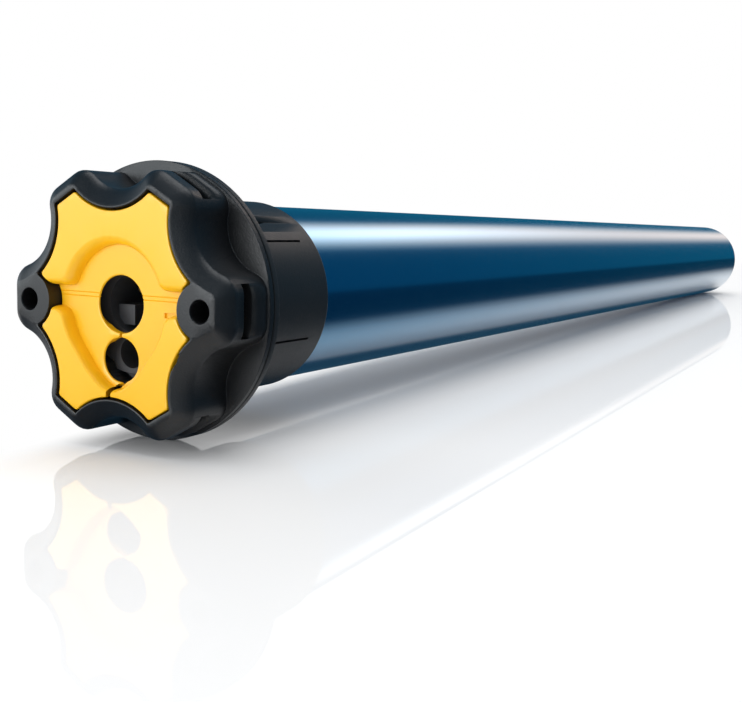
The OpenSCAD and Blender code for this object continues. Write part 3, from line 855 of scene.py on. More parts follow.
@dataclass
class Head(SubAssembly):
    """The black head housing."""

    sizes: HeadSizes = HeadSizes()

    def _shoulder(self) -> Outline:
        """The shoulder's curve from the flat rim to the full width.

        Returns:
            Points of x and the share of the swell.
        """
        s = self.sizes
        span = s.body_grow - s.rim_flat
        tilt = math.radians(s.crease)
        x = (0.0, s.edge_bend * s.edge_len * math.sin(tilt), s.edge_len * s.edge_turn, s.edge_len)
        up = (0.0, s.edge_bend * s.edge_len * math.cos(tilt) / span, 1.0, 1.0)
        curve = []
        for j in range(s.edge_steps + 1):
            t = j / s.edge_steps
            weights = ((1 - t) ** 3, 3 * t * (1 - t) ** 2, 3 * t * t * (1 - t), t ** 3)
            curve.append((sum(w * v for w, v in zip(weights, x)), sum(w * v for w, v in zip(weights, up))))
        return curve

    def _outside(self, shell: Shell) -> Outline:
        """Adds the star's side, its foot and the flange's front.

        Args:
            shell: the housing's shell.

        Returns:
            The outline of the front's outer edge.
        """
        s = self.sizes
        outer = []
        for x, up in self._shoulder():
            grown = s.star.outline(s.rim_flat + (s.body_grow - s.rim_flat) * up,
                                   s.rim_hollow + (s.body_grow - s.rim_hollow) * up,
                                   s.rim_corner + (s.body_grow - s.rim_corner) * up)
            outer.append((x, grown))
        for x, d in s.foot:
            outer.append((s.star_x + x, s.star.outline(s.body_grow + d, s.body_grow + d, s.body_grow + d)))
        shell.loft([shell.ring(x, outline) for x, outline in outer])
        shell.cap(s.star_x, [outer[-1][1], circle(s.flange_r - s.flange_edge)])
        return outer[0][1]

    def _neck(self, shell: Shell) -> None:
        """Adds the flange's edge and back, the neck and the bore.

        Args:
            shell: the housing's shell.
        """
        s, e = self.sizes, self.sizes.flange_edge
        flange = [(s.star_x, s.flange_r - e), (s.star_x + e, s.flange_r), (s.back_x - e, s.flange_r),
                  (s.back_x, s.flange_r - e)]
        shell.loft([shell.ring(x, circle(r)) for x, r in (*flange, *s.neck)])

    def _pocket(self, shell: Shell) -> Outline:
        """Adds the pocket that holds the face plate.

        Args:
            shell: the housing's shell.

        Returns:
            The outline of the pocket's mouth.
        """
        s = self.sizes
        lip = ((s.pocket_x, *s.pocket_lip[0][1:]), *s.pocket_lip)
        wall = [(x, s.star.outline(s.pocket_gap + d, s.pocket_gap + d, corner, s.pocket_bite - d))
                for x, d, corner in lip]
        shell.cap(s.pocket_x, [wall[0][1], circle(s.neck[-1][1])])
        shell.loft([shell.ring(x, outline) for x, outline in wall])
        return wall[-1][1]

    def _screw_holes(self, shell: Shell) -> list[Outline]:
        """Adds the two fixing screw holes.

        Args:
            shell: the housing's shell.

        Returns:
            The outlines of their mouths.
        """
        s = self.sizes
        mouths = []
        for side in (-1.0, 1.0):
            steps = ((0.0, s.screw_r + s.screw_edge), (s.screw_edge, s.screw_r), (s.screw_depth, s.screw_r))
            hole = [(x, circle(r, (side * s.star.screw_r, 0.0), s.screw_steps)) for x, r in steps]
            shell.loft([shell.ring(x, outline) for x, outline in hole])
            shell.cap(s.screw_depth, [hole[-1][1]])
            mouths.append(hole[0][1])
        return mouths

    def build(self) -> bpy.types.Object:
        """Builds the housing.

        Returns:
            The housing.
        """
        s = self.sizes
        shell = Shell("head_housing_body")
        edge = self._outside(shell)
        self._neck(shell)
        mouth = self._pocket(shell)
        shell.cap(0.0, [edge, mouth, *self._screw_holes(shell)])
        cutter = Cutter(shell.build())
        for k in range(s.star.lobes):
            cutter.block(s.slot_x, (s.slot_floor, s.flange_r + PAST), (-s.slot_len / 2.0, s.slot_len / 2.0),
                         360.0 / s.star.lobes * k)
        cutter.block(s.window_x, (s.window_z, s.flange_r), (-s.window_w, s.window_w), 90.0)
        cutter.prism(*s.lead_x, circle(s.lead_r, (0.0, s.lead_z), s.lead_steps))
        cutter.prism(*s.recess_x, list(s.recess))
        return self.finish_piece(cutter.cut(), BLACK, "motor_body", "head_housing")


@dataclass(frozen=True)
class PlateSizes:
    """Sizes of the face plate, in millimetres and degrees."""

    star: Star = Star()
    top_x: float = 0.2
    floor_x: float = 3.3
    back_x: float = 5.0
    bite: float = 6.4
    corner: float = 0.8
    corner_min: float = 0.25
    edge: float = 0.4
    edge_rings: tuple[float, ...] = (0.0, 0.13, 0.4, 1.0)
    crease: float = 28.0
    dome_r: float = 12.9
    dome_steps: int = 24
    notch: Point2 = (14.27, 6.05)
    notch_r: float = 2.6
    notch_steps: int = 12
    outside_y: float = 26.0
    dome_wall: float = 2.0
    channel_wall: float = 1.6
    lower_wall: float = 0.9
    lower_steps: int = 4
    wall_rings: tuple[float, ...] = (0.0, 18.0, 34.0, 50.0, 68.0, 90.0)
    lower: tuple[Point2, ...] = (
        (19.0, -1.15), (16.6, -1.15), (15.2, -1.6), (14.1, -2.6), (13.45, -4.0), (12.75, -6.0), (11.3, -8.5),
        (9.35, -11.0), (7.5, -13.4), (5.4, -15.6), (3.0, -17.4), (1.2, -18.2), (0.0, -18.4))
    plug_r: float = 6.3
    plug_steps: int = 128
    lead_r: float = 4.9
    lead_z: float = -12.2
    lead_steps: int = 112
    hole_edge: float = 0.4
    hole_rings: tuple[float, ...] = (0.0, 0.3, 1.0)
    lines_z: Point2 = (1.3, 2.2)
    line_w: float = 0.13
    line_deep: float = 0.16
    line_y: Point2 = (6.0, 17.4)
    dash: tuple[float, float, float, float] = (-15.1, -12.2, -2.25, -1.1)
    dash_edge: float = 0.1
    dash_deep: float = 0.5
    slit: float = 0.8
    zigzag: tuple[Point2, ...] = ((-0.9, -16.6), (-0.2, -17.1), (1.4, -17.9), (1.65, -21.0), (0.3, -21.0),
                                  (0.15, -18.5), (-0.5, -17.9), (-1.7, -17.0), (-1.9, -16.4))
    inset: float = 0.12
    undercut: float = 1.25
    undercut_reach: float = 1.4
    undercut_free: Point2 = (40.0, 30.0)
    undercut_start: float = -0.01
    slit_middle: float = 0.6
    slit_reach: float = 4.0
    slit_undercut: float = 2.6
    slit_undercut_z: Point2 = (-17.0, 0.8)


@dataclass
class FacePlate(SubAssembly):
    """The yellow plate, whose top and sunk floor are one surface over a flat triangle net."""

    sizes: PlateSizes = PlateSizes()

    def __post_init__(self) -> None:
        """Draws the sunk floor, and lists the holes as (centre, radius)."""
        s = self.sizes
        self.floor, self.widths = self._floor_outline()
        self.holes = (((0.0, 0.0), s.plug_r), ((0.0, s.lead_z), s.lead_r))

    def _floor_outline(self) -> tuple[np.ndarray, np.ndarray]:
        """The sunk floor's outline.

        Returns:
            The outline, and the width of the wall beside each of its points.
        """
        s = self.sizes
        meet = math.atan2(s.notch[1], s.notch[0])
        right: list[Point3] = []
        for i in range(s.dome_steps + 1):
            a = math.pi / 2.0 + (meet - math.pi / 2.0) * i / s.dome_steps
            right.append((s.dome_r * math.cos(a), s.dome_r * math.sin(a), s.dome_wall))
        for i in range(1, s.notch_steps + 1):
            a = meet + math.pi + (1.5 * math.pi - meet - math.pi) * i / s.notch_steps
            width = s.dome_wall + (s.channel_wall - s.dome_wall) * i / s.notch_steps
            right.append((s.notch[0] + s.notch_r * math.cos(a), s.notch[1] + s.notch_r * math.sin(a), width))
        right.append((s.outside_y, s.notch[1] - s.notch_r, s.channel_wall))
        right.append((s.outside_y, s.lower[0][1], s.lower_wall))
        right += [(y, z, s.lower_wall) for y, z in smooth_line(s.lower, s.lower_steps)]
        left = [(-y, z, w) for y, z, w in reversed(right[1:-1])]
        loop = np.array(right + left)
        return loop[:, :2], loop[:, 2]

    def _wall_line(self, share: float) -> Outline:
        """The floor's outline, moved out over its wall.

        Args:
            share: how far, as a share of the wall's width.

        Returns:
            The moved outline.
        """
        ahead, behind = np.roll(self.floor, -1, axis=0), np.roll(self.floor, 1, axis=0)
        run = ahead - behind
        run /= np.linalg.norm(run, axis=1)[:, None] + TINY
        out = np.stack([-run[:, 1], run[:, 0]], axis=1)
        return [tuple(p) for p in self.floor + out * (self.widths * share)[:, None]]

    def _depth(self, points: np.ndarray) -> np.ndarray:
        """The plate's top surface, with its sunk floor, its lines and its rounded edges.

        Args:
            points: places in the plate's plane.

        Returns:
            The surface's x at each point.
        """
        s = self.sizes
        away, width = distance(points, self.floor, self.widths)
        floor_loop = [tuple(p) for p in self.floor]
        within = np.array([inside(tuple(p), floor_loop) for p in points])
        away = np.where(within, 0.0, away)
        rise = 1.0 - np.clip(away / width, 0.0, 1.0)
        x = s.floor_x - (s.floor_x - s.top_x) * np.sqrt(np.clip(1.0 - rise ** 2, 0.0, 1.0))
        x = np.where(within, s.floor_x, x)
        for level in s.lines_z:
            groove = np.clip(1.0 - np.abs(points[:, 1] - level) / s.line_w, 0.0, 1.0) * s.line_deep
            x = np.where(within & (np.abs(points[:, 0]) < s.line_y[1]), x + groove, x)
        y0, y1, z0, z1 = s.dash
        deep = np.minimum(np.minimum(points[:, 0] - y0, y1 - points[:, 0]),
                          np.minimum(points[:, 1] - z0, z1 - points[:, 1]))
        x += np.clip(deep / s.dash_edge, 0.0, 1.0) * s.dash_deep
        rim = [tuple(p) for p in s.star.outline(-s.inset, -s.inset, s.corner, s.bite + s.inset)]
        edge, _ = distance(points, np.array(rim), np.ones(len(rim)))
        x += rounding(edge, s.edge)
        for centre, r in self.holes:
            gap = np.hypot(points[:, 0] - centre[0], points[:, 1] - centre[1]) - r
            x += rounding(gap, s.hole_edge)
        return x

    def _slit_outline(self) -> Outline:
        """The slit between the plug hole and the lead hole."""
        s, half = self.sizes, self.sizes.slit / 2.0
        return [(-half, 0.0), (-half, s.lead_z), (half, s.lead_z), (half, 0.0)]

    def _back(self, points: np.ndarray) -> np.ndarray:
        """The plate's back, where the holes and the slit are wider than in front.

        Args:
            points: places in the plate's plane.

        Returns:
            Where the back lies under each point.
        """
        s = self.sizes
        moved = points.copy()
        # Other is the direction of the other hole, towards which nothing moves.
        for (centre, r), other in zip(self.holes, (-90.0, 90.0)):
            arm = points - np.array(centre)
            length = np.linalg.norm(arm, axis=1) + TINY
            away = np.abs((np.degrees(np.arctan2(arm[:, 1], arm[:, 0])) - other + 180.0) % 360.0 - 180.0)
            share = np.clip(1.0 - (length - r) / s.undercut_reach, 0.0, 1.0) * (length > r + s.undercut_start)
            share *= np.clip((away - s.undercut_free[0]) / s.undercut_free[1], 0.0, 1.0)
            moved += arm / length[:, None] * (share * s.undercut)[:, None]
        off = points[:, 0] - s.slit_middle
        top, fade = s.slit_undercut_z
        share = np.clip(1.0 - np.abs(off) / s.slit_reach, 0.0, 1.0) * np.clip((top - points[:, 1]) / fade, 0.0, 1.0)
        moved[:, 0] += np.sign(off) * share * s.slit_undercut
        return moved

    def _lines(self) -> list[Outline]:
        """The fine lines across the floor.

        Returns:
            Each line's edges and middle, left and right of the plug hole.
        """
        s = self.sizes
        return [[(side * y, z + d) for y in s.line_y]
                for z in s.lines_z for d in (-s.line_w, 0.0, s.line_w) for side in (-1.0, 1.0)]

    def _net(self) -> tuple[list[Point2], list[tuple[int, ...]]]:
        """The flat triangle net, which follows every edge of the plate's shape.

        Returns:
            The net's points and triangles.
        """
        s = self.sizes
        rims = [s.star.outline(-d - s.inset, -d - s.inset, max(s.corner - d, s.corner_min), s.bite + s.inset + d)
                for d in (s.edge * share for share in s.edge_rings)]
        plug, lead = ([circle(r + s.hole_edge * share, centre, steps) for share in s.hole_rings]
                      for (centre, r), steps in zip(self.holes, (s.plug_steps, s.lead_steps)))
        slit, zigzag = self._slit_outline(), list(s.zigzag)
        walls = [self._wall_line(1.0 - math.cos(math.radians(a))) for a in s.wall_rings]
        y0, y1, z0, z1 = s.dash
        dash = [[(y0 + d, z0 + d), (y1 - d, z0 + d), (y1 - d, z1 - d), (y0 + d, z1 - d)] for d in (0.0, s.dash_edge)]

        def solid(p: Point2) -> bool:
            """Whether the plate covers this point."""
            return inside(p, rims[0]) and not any(inside(p, hole) for hole in (plug[0], lead[0], slit, zigzag))

        return fill_plane([*rims, *plug, *lead, slit, zigzag, *walls, *dash], solid, self._lines())

    def build(self) -> bpy.types.Object:
        """Builds the plate.

        Returns:
            The plate.
        """
        flat, faces = self._net()
        count = len(flat)
        depth, back = self._depth(np.array(flat)), self._back(np.array(flat))
        shell = Shell("face_plate_body")
        shell.points = [(float(x), *p) for x, p in zip(depth, flat)]
        shell.points += [(self.sizes.back_x, float(y), float(z)) for y, z in back]
        shell.faces = [tuple(f) for f in faces] + [tuple(count + i for i in reversed(f)) for f in faces]
        sides = [side for face in faces for side in zip(face, face[1:] + face[:1])]
        shared = set(sides)
        shell.faces += [(i, j, count + j, count + i) for i, j in sides if (j, i) not in shared]
        return self.finish_piece(shell.build(self.sizes.crease), YELLOW, "motor_body", "face_plate")


def smooth_line(points: Sequence[Point2], steps: int) -> Outline:
    """A smooth line through points.

    Args:
        points: the points.
        steps: how many parts each stretch gets.

    Returns:
        The finer line.
    """
    pts = [np.array(p) for p in (points[0], *points, points[-1])]
    line: Outline = []
    for a, b, c, d in zip(pts, pts[1:], pts[2:], pts[3:]):
        for i in range(steps):
            t = i / steps
            p = 0.5 * ((2 * b) + (c - a) * t + (2 * a - 5 * b + 4 * c - d) * t ** 2
                       + (3 * b - a - 3 * c + d) * t ** 3)
            line.append((float(p[0]), float(p[1])))
    return line + [tuple(points[-1])]


def distance(points: np.ndarray, loop: np.ndarray, values: np.ndarray) -> tuple[np.ndarray, np.ndarray]:
    """How far points are from a closed outline.

    Args:
        points: the points.
        loop: the outline's corners.
        values: a value at each corner.

    Returns:
        Each point's distance, and the value at the nearest place on the outline.
    """
    ahead, after = np.roll(loop, -1, axis=0), np.roll(values, -1)
    run = ahead - loop
    size = (run ** 2).sum(axis=1) + TINY
    best = np.full(len(points), np.inf)
    value = np.ones(len(points))
    for k in range(len(loop)):
        t = np.clip(((points - loop[k]) @ run[k]) / size[k], 0.0, 1.0)
        d = np.linalg.norm(points - loop[k] - t[:, None] * run[k], axis=1)
        near = d < best
        best = np.where(near, d, best)
        value = np.where(near, values[k] + (after[k] - values[k]) * t, value)
    return best, value


def rounding(gap: np.ndarray, radius: float) -> np.ndarray:
    """How much lower a rounded edge is than the flat beside it.

    Args:
        gap: distances from the edge.
        radius: the rounding's radius.

    Returns:
        The drop at each distance.
    """
    share = 1.0 - np.clip(gap / radius, 0.0, 1.0)
    return radius * (1.0 - np.sqrt(np.clip(1.0 - share ** 2, 0.0, 1.0)))


@dataclass(frozen=True)
class CrownSizes:
    """Sizes of the crown, in millimetres and degrees."""

    x0: float = 16.3
    flange_x1: float = 18.1
    x1: float = 51.9
    flange_r: float = 31.5
    r: float = 23.5
    bore: float = 18.05
    rear_bore: float = 20.05
    teeth: int = 52
    module: float = 0.75
    teeth_x: Point2 = (38.0, 44.0)
    teeth_past: float = 0.02
    root: float = 1.2
    space: tuple[Point2, ...] = ((0.0, 0.32), (0.5, 0.26), (1.0, 0.13))
    front_edge: tuple[Point2, ...] = ((0.0, -0.25), (0.08, -0.07), (0.25, 0.0))
    flange_edge: tuple[Point2, ...] = ((-0.3, 0.0), (-0.09, -0.09), (0.0, -0.3))
    root_edge: tuple[Point2, ...] = ((0.0, 0.35), (0.1, 0.1), (0.35, 0.0))
    end_edge: tuple[Point2, ...] = ((-1.3, 0.0), (-0.95, -0.1), (-0.1, -0.9), (0.0, -1.1))
    steps: int = 288
    slits: int = 6
    slit_angle: float = 23.0
    slit_w: float = 0.6
    slit_deep: float = 1.0
    slit_x: Point2 = (19.1, 45.1)
    key_angle: float = 129.0
    key_w: float = 6.0
    key_deep: float = 2.0
    key_x: Point2 = (19.1, 35.6)


@dataclass
class Crown(SubAssembly):
    """The collar that turns with the roller tube."""

    sizes: CrownSizes = CrownSizes()

    @property
    def tip_r(self) -> float:
        """The radius of the inner teeth's tips."""
        return self.sizes.teeth * self.sizes.module / 2.0 - self.sizes.module

    def _tooth_spaces(self) -> Outline:
        """The spaces between the inner teeth.

        Returns:
            One outline round all of them.
        """
        s = self.sizes
        deep = s.teeth * s.module / 2.0 + s.root * s.module - self.tip_r
        flanks = [(share, -half) for share, half in s.space] + list(reversed(s.space))
        points: Outline = []
        for k in range(s.teeth):
            for share, half in flanks:
                r, angle = self.tip_r + deep * share, 2.0 * math.pi / s.teeth * (k + half)
                points.append((r * math.cos(angle), r * math.sin(angle)))
        return points

    def build(self) -> bpy.types.Object:
        """Builds the crown.

        Returns:
            The crown.
        """
        s = self.sizes
        profile = [(s.x0, s.bore)]
        for x, r, edge in ((s.x0, s.flange_r, s.front_edge), (s.flange_x1, s.flange_r, s.flange_edge),
                           (s.flange_x1, s.r, s.root_edge), (s.x1, s.r, s.end_edge)):
            profile += [(x + dx, r + dr) for dx, dr in edge]
        profile += [(s.x1, s.rear_bore), (s.teeth_x[1], s.rear_bore), (s.teeth_x[1], self.tip_r),
                    (s.teeth_x[0], self.tip_r), (s.teeth_x[0], s.bore)]
        shell = Shell("crown_body")
        shell.turn(profile, s.steps)
        cutter = Cutter(shell.build())
        cutter.prism(s.teeth_x[0], s.teeth_x[1] + s.teeth_past, self._tooth_spaces())
        for k in range(s.slits):
            cutter.block(s.slit_x, (s.r - s.slit_deep, s.r + PAST), (-s.slit_w / 2.0, s.slit_w / 2.0),
                         s.slit_angle + 360.0 / s.slits * k)
        corners = [(x, u, v) for u in (s.r - s.key_deep, s.r + PAST)
                   for x, v in ((s.key_x[0], -s.key_w / 2.0), (s.key_x[0], s.key_w / 2.0), (s.key_x[1], 0.0))]
        cutter.solid(corners, [(0, 1, 2), (5, 4, 3), (0, 3, 4, 1), (1, 4, 5, 2), (2, 5, 3, 0)], s.key_angle)
        return self.finish_piece(cutter.cut(), CROWN, "crown", "crown")


@dataclass(frozen=True)
class TubeSizes:
    """Sizes of the tube and of the housing that closes its far end, in millimetres."""

    x0: float = 52.2
    x1: float = 585.8
    r: float = 22.5
    wall: float = 1.2
    end_x: float = 587.0
    end_r: float = 22.3
    housing_x: float = 547.8
    housing_r: float = 21.25
    bore: float = 9.5
    bush_bore: float = 12.0
    bush_back: float = 1.0
    edge: float = 0.2
    housing_edge: float = 0.6
    end_edge: float = 0.3
    end_middle: float = 0.09
    steps: int = 240


@dataclass
class Tube(SubAssembly):
    """The painted tube and its end housing."""

    sizes: TubeSizes = TubeSizes()

    def build(self) -> list[bpy.types.Object]:
        """Builds both pieces.

        Returns:
            The tube and the end housing.
        """
        s = self.sizes
        e, h, b, m = s.edge, s.housing_edge, s.end_edge, s.end_middle
        tube = Shell("motor_tube_body")
        tube.turn([(s.x0, s.r - s.wall), (s.x0, s.r - e), (s.x0 + e, s.r), (s.x1 - e, s.r), (s.x1, s.r - e),
                   (s.x1, s.r - s.wall)], s.steps)
        end = Shell("end_housing_body")
        end.turn([(s.housing_x, s.bore), (s.housing_x, s.housing_r - h), (s.housing_x + h, s.housing_r),
                  (s.x1, s.housing_r), (s.x1, s.end_r), (s.end_x - b, s.end_r), (s.end_x - m, s.end_r - m),
                  (s.end_x, s.end_r - b), (s.end_x, s.bush_bore + b), (s.end_x - b, s.bush_bore),
                  (s.housing_x + s.bush_back, s.bush_bore), (s.housing_x + s.bush_back, s.bore)], s.steps)
        return [self.finish_piece(tube.build(), PAINT, "motor_body", "motor_tube"),
                self.finish_piece(end.build(), BLACK, "motor_body", "end_housing")]


@dataclass
class InnerWorks(SubAssembly):
    """The pieces inside, whose shapes come from the frame."""

    def build(self) -> None:
        """Gives every node that is still shown the material of its slot."""
        slots = {row["node"]: row["material_slot"] for row in frame["record"]["subparts"]}
        for name, piece in frame["nodes"].items():
            if piece.hide_render:
                continue
            finish = OWN_FINISH.get(name, SLOTS[slots[name]])
            for held in piece.material_slots:
                held.material = self.shop.material(finish)
            log.info("%s: %s", name, finish.name)


# ---------------------------------------------------------------- studio


# Painted reflections, which only glossy rays see and which light nothing: the dark room, the floor's painted shade
# and painted dark reflection, the band of light above that paints the tube's highlight, and the lit wall that paints
# sheen on the faces turned to it.
PAINTED_ROOM_COLOUR = (0.005, 0.11, 0.205)
PAINTED_DARK_COLOUR = (0.002, 0.045, 0.09)
PAINTED_HIGHLIGHT_COLOUR = (1.0, 0.88, 0.82)
PAINTED_SHEEN_COLOUR = (0.86, 0.95, 1.0)
PURE_WHITE = (1.0, 1.0, 1.0)


@dataclass(frozen=True)
class FloorLook:
    """The floor's gloss, its white areas, its painted shade strip under the tube and its painted dark areas that
    only glossy rays see, in metres. A pair is where a step starts and ends.
    """

    dull: Point3 = (0.95, 0.96, 0.97)
    mirror_ior: float = 1.38
    mirror_share: float = 0.85
    mirror_loss: float = 0.35
    loss_x: Point2 = (-0.01, 0.05)
    # Painted shade: these weaken the mirror in a strip under the tube, so that the floor there looks darker.
    shade_share: float = 0.85
    shade_y: Point2 = (-0.022, -0.006)
    shade_end_y: Point2 = (0.03, 0.06)
    shade_x: Point2 = (0.02, 0.05)
    shade_end_x: Point2 = (0.6, 0.64)
    middle: Point3 = (0.2, 0.0, 0.0)
    white_away: Point2 = (0.5, 1.3)
    behind_slope: float = 0.08
    behind_y: float = 0.006
    behind_width: float = 0.014
    beyond_x: Point2 = (0.58, 1.0)
    beyond_y: float = 0.25
    beyond_width: float = 0.5
    # Painted shade and a painted dark reflection: these make the floor dark to blurry glossy rays under the tube and
    # in front of it.
    under_share: float = 0.92
    under_y: Point2 = (-0.013, -0.009)
    under_end_y: Point2 = (0.07, 0.14)
    painted_dark_y: Point2 = (0.02, 0.055)


@dataclass(frozen=True)
class SkyLook:
    """What glossy surfaces see round the studio, by direction: a dark room, a band of light that paints a highlight,
    and a lit wall that paints sheen, none of which light anything else. A pair is where a step starts and ends.
    """

    wall_lean: float = 0.7
    wall_side: Point2 = (0.45, 0.85)
    wall_top_z: Point2 = (0.2, 0.5)
    wall_light: float = 1.5
    wall_more: float = 1.8
    wall_more_z: Point2 = (-0.16, 0.05)
    band_turn: Point2 = (0.85, 1.5)
    band_end_turn: Point2 = (1.5, 2.15)
    band_x: Point2 = (0.76, 0.82)
    side_x: Point2 = (0.84, 0.95)
    side_turn: float = 0.23
    band_light: float = 4.0
    band_less: float = 2.8
    band_less_x: Point2 = (0.84, 0.97)
    fill: float = 0.68


@dataclass(frozen=True)
class Lamp:
    """One soft lamp. Its aim and place are in metres."""

    name: str
    place: Point3
    aim: Point3
    size: Point2
    watts: float


@dataclass(frozen=True)
class CameraPose:
    """Where the camera stands, in millimetres and radians."""

    place: Point3 = (-170.359478, -158.353013, 18.5744712)
    azimuth: float = -1.06523995
    elevation: float = 0.119028554
    roll: float = 0.0260221122
    focal_px: float = 1058.56265
    width_px: float = 742.0
    sensor: float = 36.0
    clip: Point2 = (0.01, 50.0)


@dataclass(frozen=True)
class StudioSizes:
    """The floor, the lamps and the camera."""

    floor_near: Point2 = (0.016, -0.03154)
    floor_far: Point2 = (0.587, -0.02254)
    floor_half: float = 6.0
    floor_look: FloorLook = FloorLook()
    sky: SkyLook = SkyLook()
    camera: CameraPose = CameraPose()
    lamps: tuple[Lamp, ...] = (
        Lamp("front_fill", (-0.9, 0.25, 0.12), (0.0, 0.0, 0.0), (0.6, 0.6), 4.2),
        Lamp("overhead", (0.2, -0.1, 1.4), (0.2, -0.05, 0.0), (1.1, 1.1), 9.3),
    )


@dataclass
class Studio:
    """The floor, the light and the camera, none of which belong to the object."""

    sizes: StudioSizes = StudioSizes()

    def build(self) -> None:
        """Builds the whole studio."""
        self._floor()
        self._world()
        for lamp in self.sizes.lamps:
            self._lamp(lamp)
        self._camera()
        bpy.context.scene.view_settings.view_transform = "Standard"

    def _floor(self) -> None:
        """Builds the floor, which touches the head's flange and the tube's far end."""
        s = self.sizes
        rise = (s.floor_far[1] - s.floor_near[1]) / (s.floor_far[0] - s.floor_near[0])
        corners = [(x, y, s.floor_near[1] + rise * (x - s.floor_near[0]))
                   for x, y in ((-s.floor_half, -s.floor_half), (s.floor_half, -s.floor_half),
                                (s.floor_half, s.floor_half), (-s.floor_half, s.floor_half))]
        mesh = bpy.data.meshes.new("floor")
        mesh.from_pydata(corners, [], [(0, 1, 2, 3)])
        floor = bpy.data.objects.new("floor", mesh)
        bpy.context.scene.collection.objects.link(floor)
        floor.data.materials.append(self._floor_material())
        log.info("floor")

    def _floor_material(self) -> bpy.types.Material:
        """Makes the floor's material: dull and mirroring near the part, with less mirror in a strip under the tube
        as painted shade, pure white behind it and far away. Under the tube and in front of it, blurry glossy rays
        see it dark, as painted shade and a painted dark reflection.

        Returns:
            The material.
        """
        look = self.sizes.floor_look
        material = bpy.data.materials.new("floor_gloss")
        material.use_nodes = True
        g = Graph(material.node_tree)
        place = g.node("ShaderNodeTexCoord", out="Object")
        x, y, _ = g.parts(place)
        camera_ray, glossy_ray, through_ray = g.rays()
        # Painted shade: the mirror is weaker in a strip under the tube, so the floor's shadow there looks darker.
        shaded = y.above(*look.shade_y) * (1.0 - y.above(*look.shade_end_y))
        shaded = shaded * x.above(*look.shade_x) * (1.0 - x.above(*look.shade_end_x))
        mirror = g.node("ShaderNodeFresnel", {}, {"IOR": look.mirror_ior})
        mirror = mirror * (look.mirror_share - x.above(*look.loss_x) * look.mirror_loss)
        dull = g.node("ShaderNodeBsdfDiffuse", {}, {"Color": look.dull})
        gloss = g.node("ShaderNodeBsdfGlossy", {}, {"Color": PURE_WHITE, "Roughness": 0.0})
        mirror = mirror * (1.0 - shaded * look.shade_share)
        near = g.node("ShaderNodeMixShader", {}, {0: mirror, 1: dull, 2: gloss})
        away = g.vector_math("DISTANCE", {0: place, 1: look.middle}, "Value")
        beyond = x.above(*look.beyond_x)
        behind = y - x * look.behind_slope - look.behind_y + beyond * look.beyond_y
        behind = (behind / (beyond * look.beyond_width + look.behind_width)).above(0.0, 1.0)
        far = (away.above(*look.white_away) + behind).clamp() * (camera_ray + through_ray + glossy_ray).clamp()
        # Painted shade and a painted dark reflection: blurry glossy rays see the floor dark under the tube and in
        # front of it.
        under = y.above(*look.under_y) * (1.0 - y.above(*look.under_end_y)) * look.under_share
        sharp = g.node("ShaderNodeLightPath", out=SHARP_RAY)
        painted_dark = ((0.0 - y).above(*look.painted_dark_y) + under) * glossy_ray * (1.0 - sharp)
        white = g.node("ShaderNodeEmission", {}, {"Color": PURE_WHITE, "Strength": 1.0})
        dark = g.node("ShaderNodeEmission", {}, {"Color": PAINTED_DARK_COLOUR, "Strength": 1.0})
        whole = g.node("ShaderNodeMixShader", {}, {0: far, 1: near, 2: white})
        carded = g.node("ShaderNodeMixShader", {}, {0: painted_dark, 1: whole, 2: dark})
        g.node("ShaderNodeOutputMaterial", {}, {"Surface": carded})
        return material

    def _world(self) -> None:
        """Makes the world: white to the camera and the floor's mirror. To gloss it is a dark room with a painted
        highlight band and a painted sheen wall, which light nothing else.
        """
        sky = self.sizes.sky
        world = bpy.data.worlds.new("studio")
        bpy.context.scene.world = world
        world.use_nodes = True
        g = Graph(world.node_tree)
        camera_ray, glossy_ray, through_ray = g.rays()
        direct = (camera_ray + glossy_ray + through_ray).clamp()
        x, y, z = g.parts(g.node("ShaderNodeTexCoord", out="Generated"))
        # Painted sheen: a lit wall to the front left that only glossy rays see.
        wall = (y * sky.wall_lean - x * sky.wall_lean).above(*sky.wall_side) * (1.0 - z.above(*sky.wall_top_z))
        wall = wall * (sky.wall_light + z.above(*sky.wall_more_z) * sky.wall_more)
        # Painted highlight: a band of light above, beyond the tube's far end, that only glossy rays see and that
        # paints the tube's white highlight.
        turn = g.math("ARCTAN2", z, y)
        band = (turn - (1.0 - x.above(*sky.side_x)) * sky.side_turn).above(*sky.band_turn)
        band = band * (1.0 - turn.above(*sky.band_end_turn)) * x.above(*sky.band_x)
        band = band * (sky.band_light - x.above(*sky.band_less_x) * sky.band_less)
        shown = wall + band
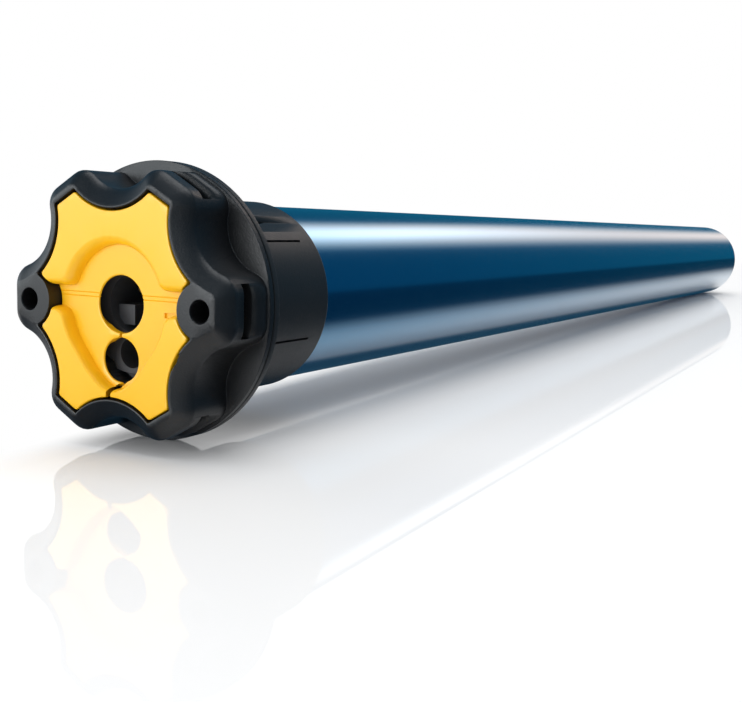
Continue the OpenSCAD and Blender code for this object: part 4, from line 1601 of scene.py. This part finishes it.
        # The painted reflections' colours: the dark room, and the band and wall where they show.
        room = g.mix(shown.clamp(), PAINTED_ROOM_COLOUR, g.mix(band.clamp(), PAINTED_SHEEN_COLOUR, PAINTED_HIGHLIGHT_COLOUR))
        dulled = 1.0 - g.node("ShaderNodeLightPath", out=SHARP_RAY)
        colour = g.mix(glossy_ray * dulled, PURE_WHITE, room)
        shown = g.math("MAXIMUM", shown * dulled, 1.0)
        strength = camera_ray + through_ray + glossy_ray * shown + (1.0 - direct) * sky.fill
        light = g.node("ShaderNodeBackground", {}, {"Color": colour, "Strength": strength})
        g.node("ShaderNodeOutputWorld", {}, {"Surface": light})
        log.info("world")

    def _lamp(self, lamp: Lamp) -> None:
        """Builds a lamp.

        Args:
            lamp: its sizes.
        """
        data = bpy.data.lights.new(lamp.name, "AREA")
        data.shape = "RECTANGLE"
        data.size, data.size_y = lamp.size
        data.energy = lamp.watts
        made = bpy.data.objects.new(lamp.name, data)
        bpy.context.scene.collection.objects.link(made)
        made.location = lamp.place
        made.rotation_euler = (Vector(lamp.aim) - Vector(lamp.place)).to_track_quat("-Z", "Y").to_euler()
        made.visible_camera = False
        log.info("lamp %s", lamp.name)

    def _camera(self) -> None:
        """Builds the camera."""
        c = self.sizes.camera
        back = Vector((math.sin(c.azimuth) * math.cos(c.elevation), -math.cos(c.azimuth) * math.cos(c.elevation),
                       math.sin(c.elevation)))
        right = Vector((0.0, 0.0, 1.0)).cross(back).normalized()
        up = back.cross(right)
        cr, sr = math.cos(c.roll), math.sin(c.roll)
        right, up = cr * right + sr * up, -sr * right + cr * up
        data = bpy.data.cameras.new("camera")
        data.sensor_width = c.sensor
        data.lens = c.sensor * c.focal_px / c.width_px
        data.clip_start, data.clip_end = c.clip
        made = bpy.data.objects.new("camera", data)
        bpy.context.scene.collection.objects.link(made)
        turn = Matrix((right, up, back)).transposed().to_4x4()
        made.matrix_world = Matrix.Translation(Vector(c.place) * MM) @ turn
        bpy.context.scene.camera = made
        log.info("camera")


def main() -> None:
    """Builds the pieces and the studio round them."""
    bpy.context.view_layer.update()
    shop = Paintshop()
    Head(shop).build()
    FacePlate(shop).build()
    Crown(shop).build()
    Tube(shop).build()
    InnerWorks(shop).build()
    Studio().build()
    bpy.context.view_layer.update()


if __name__ == "__main__":
    main()
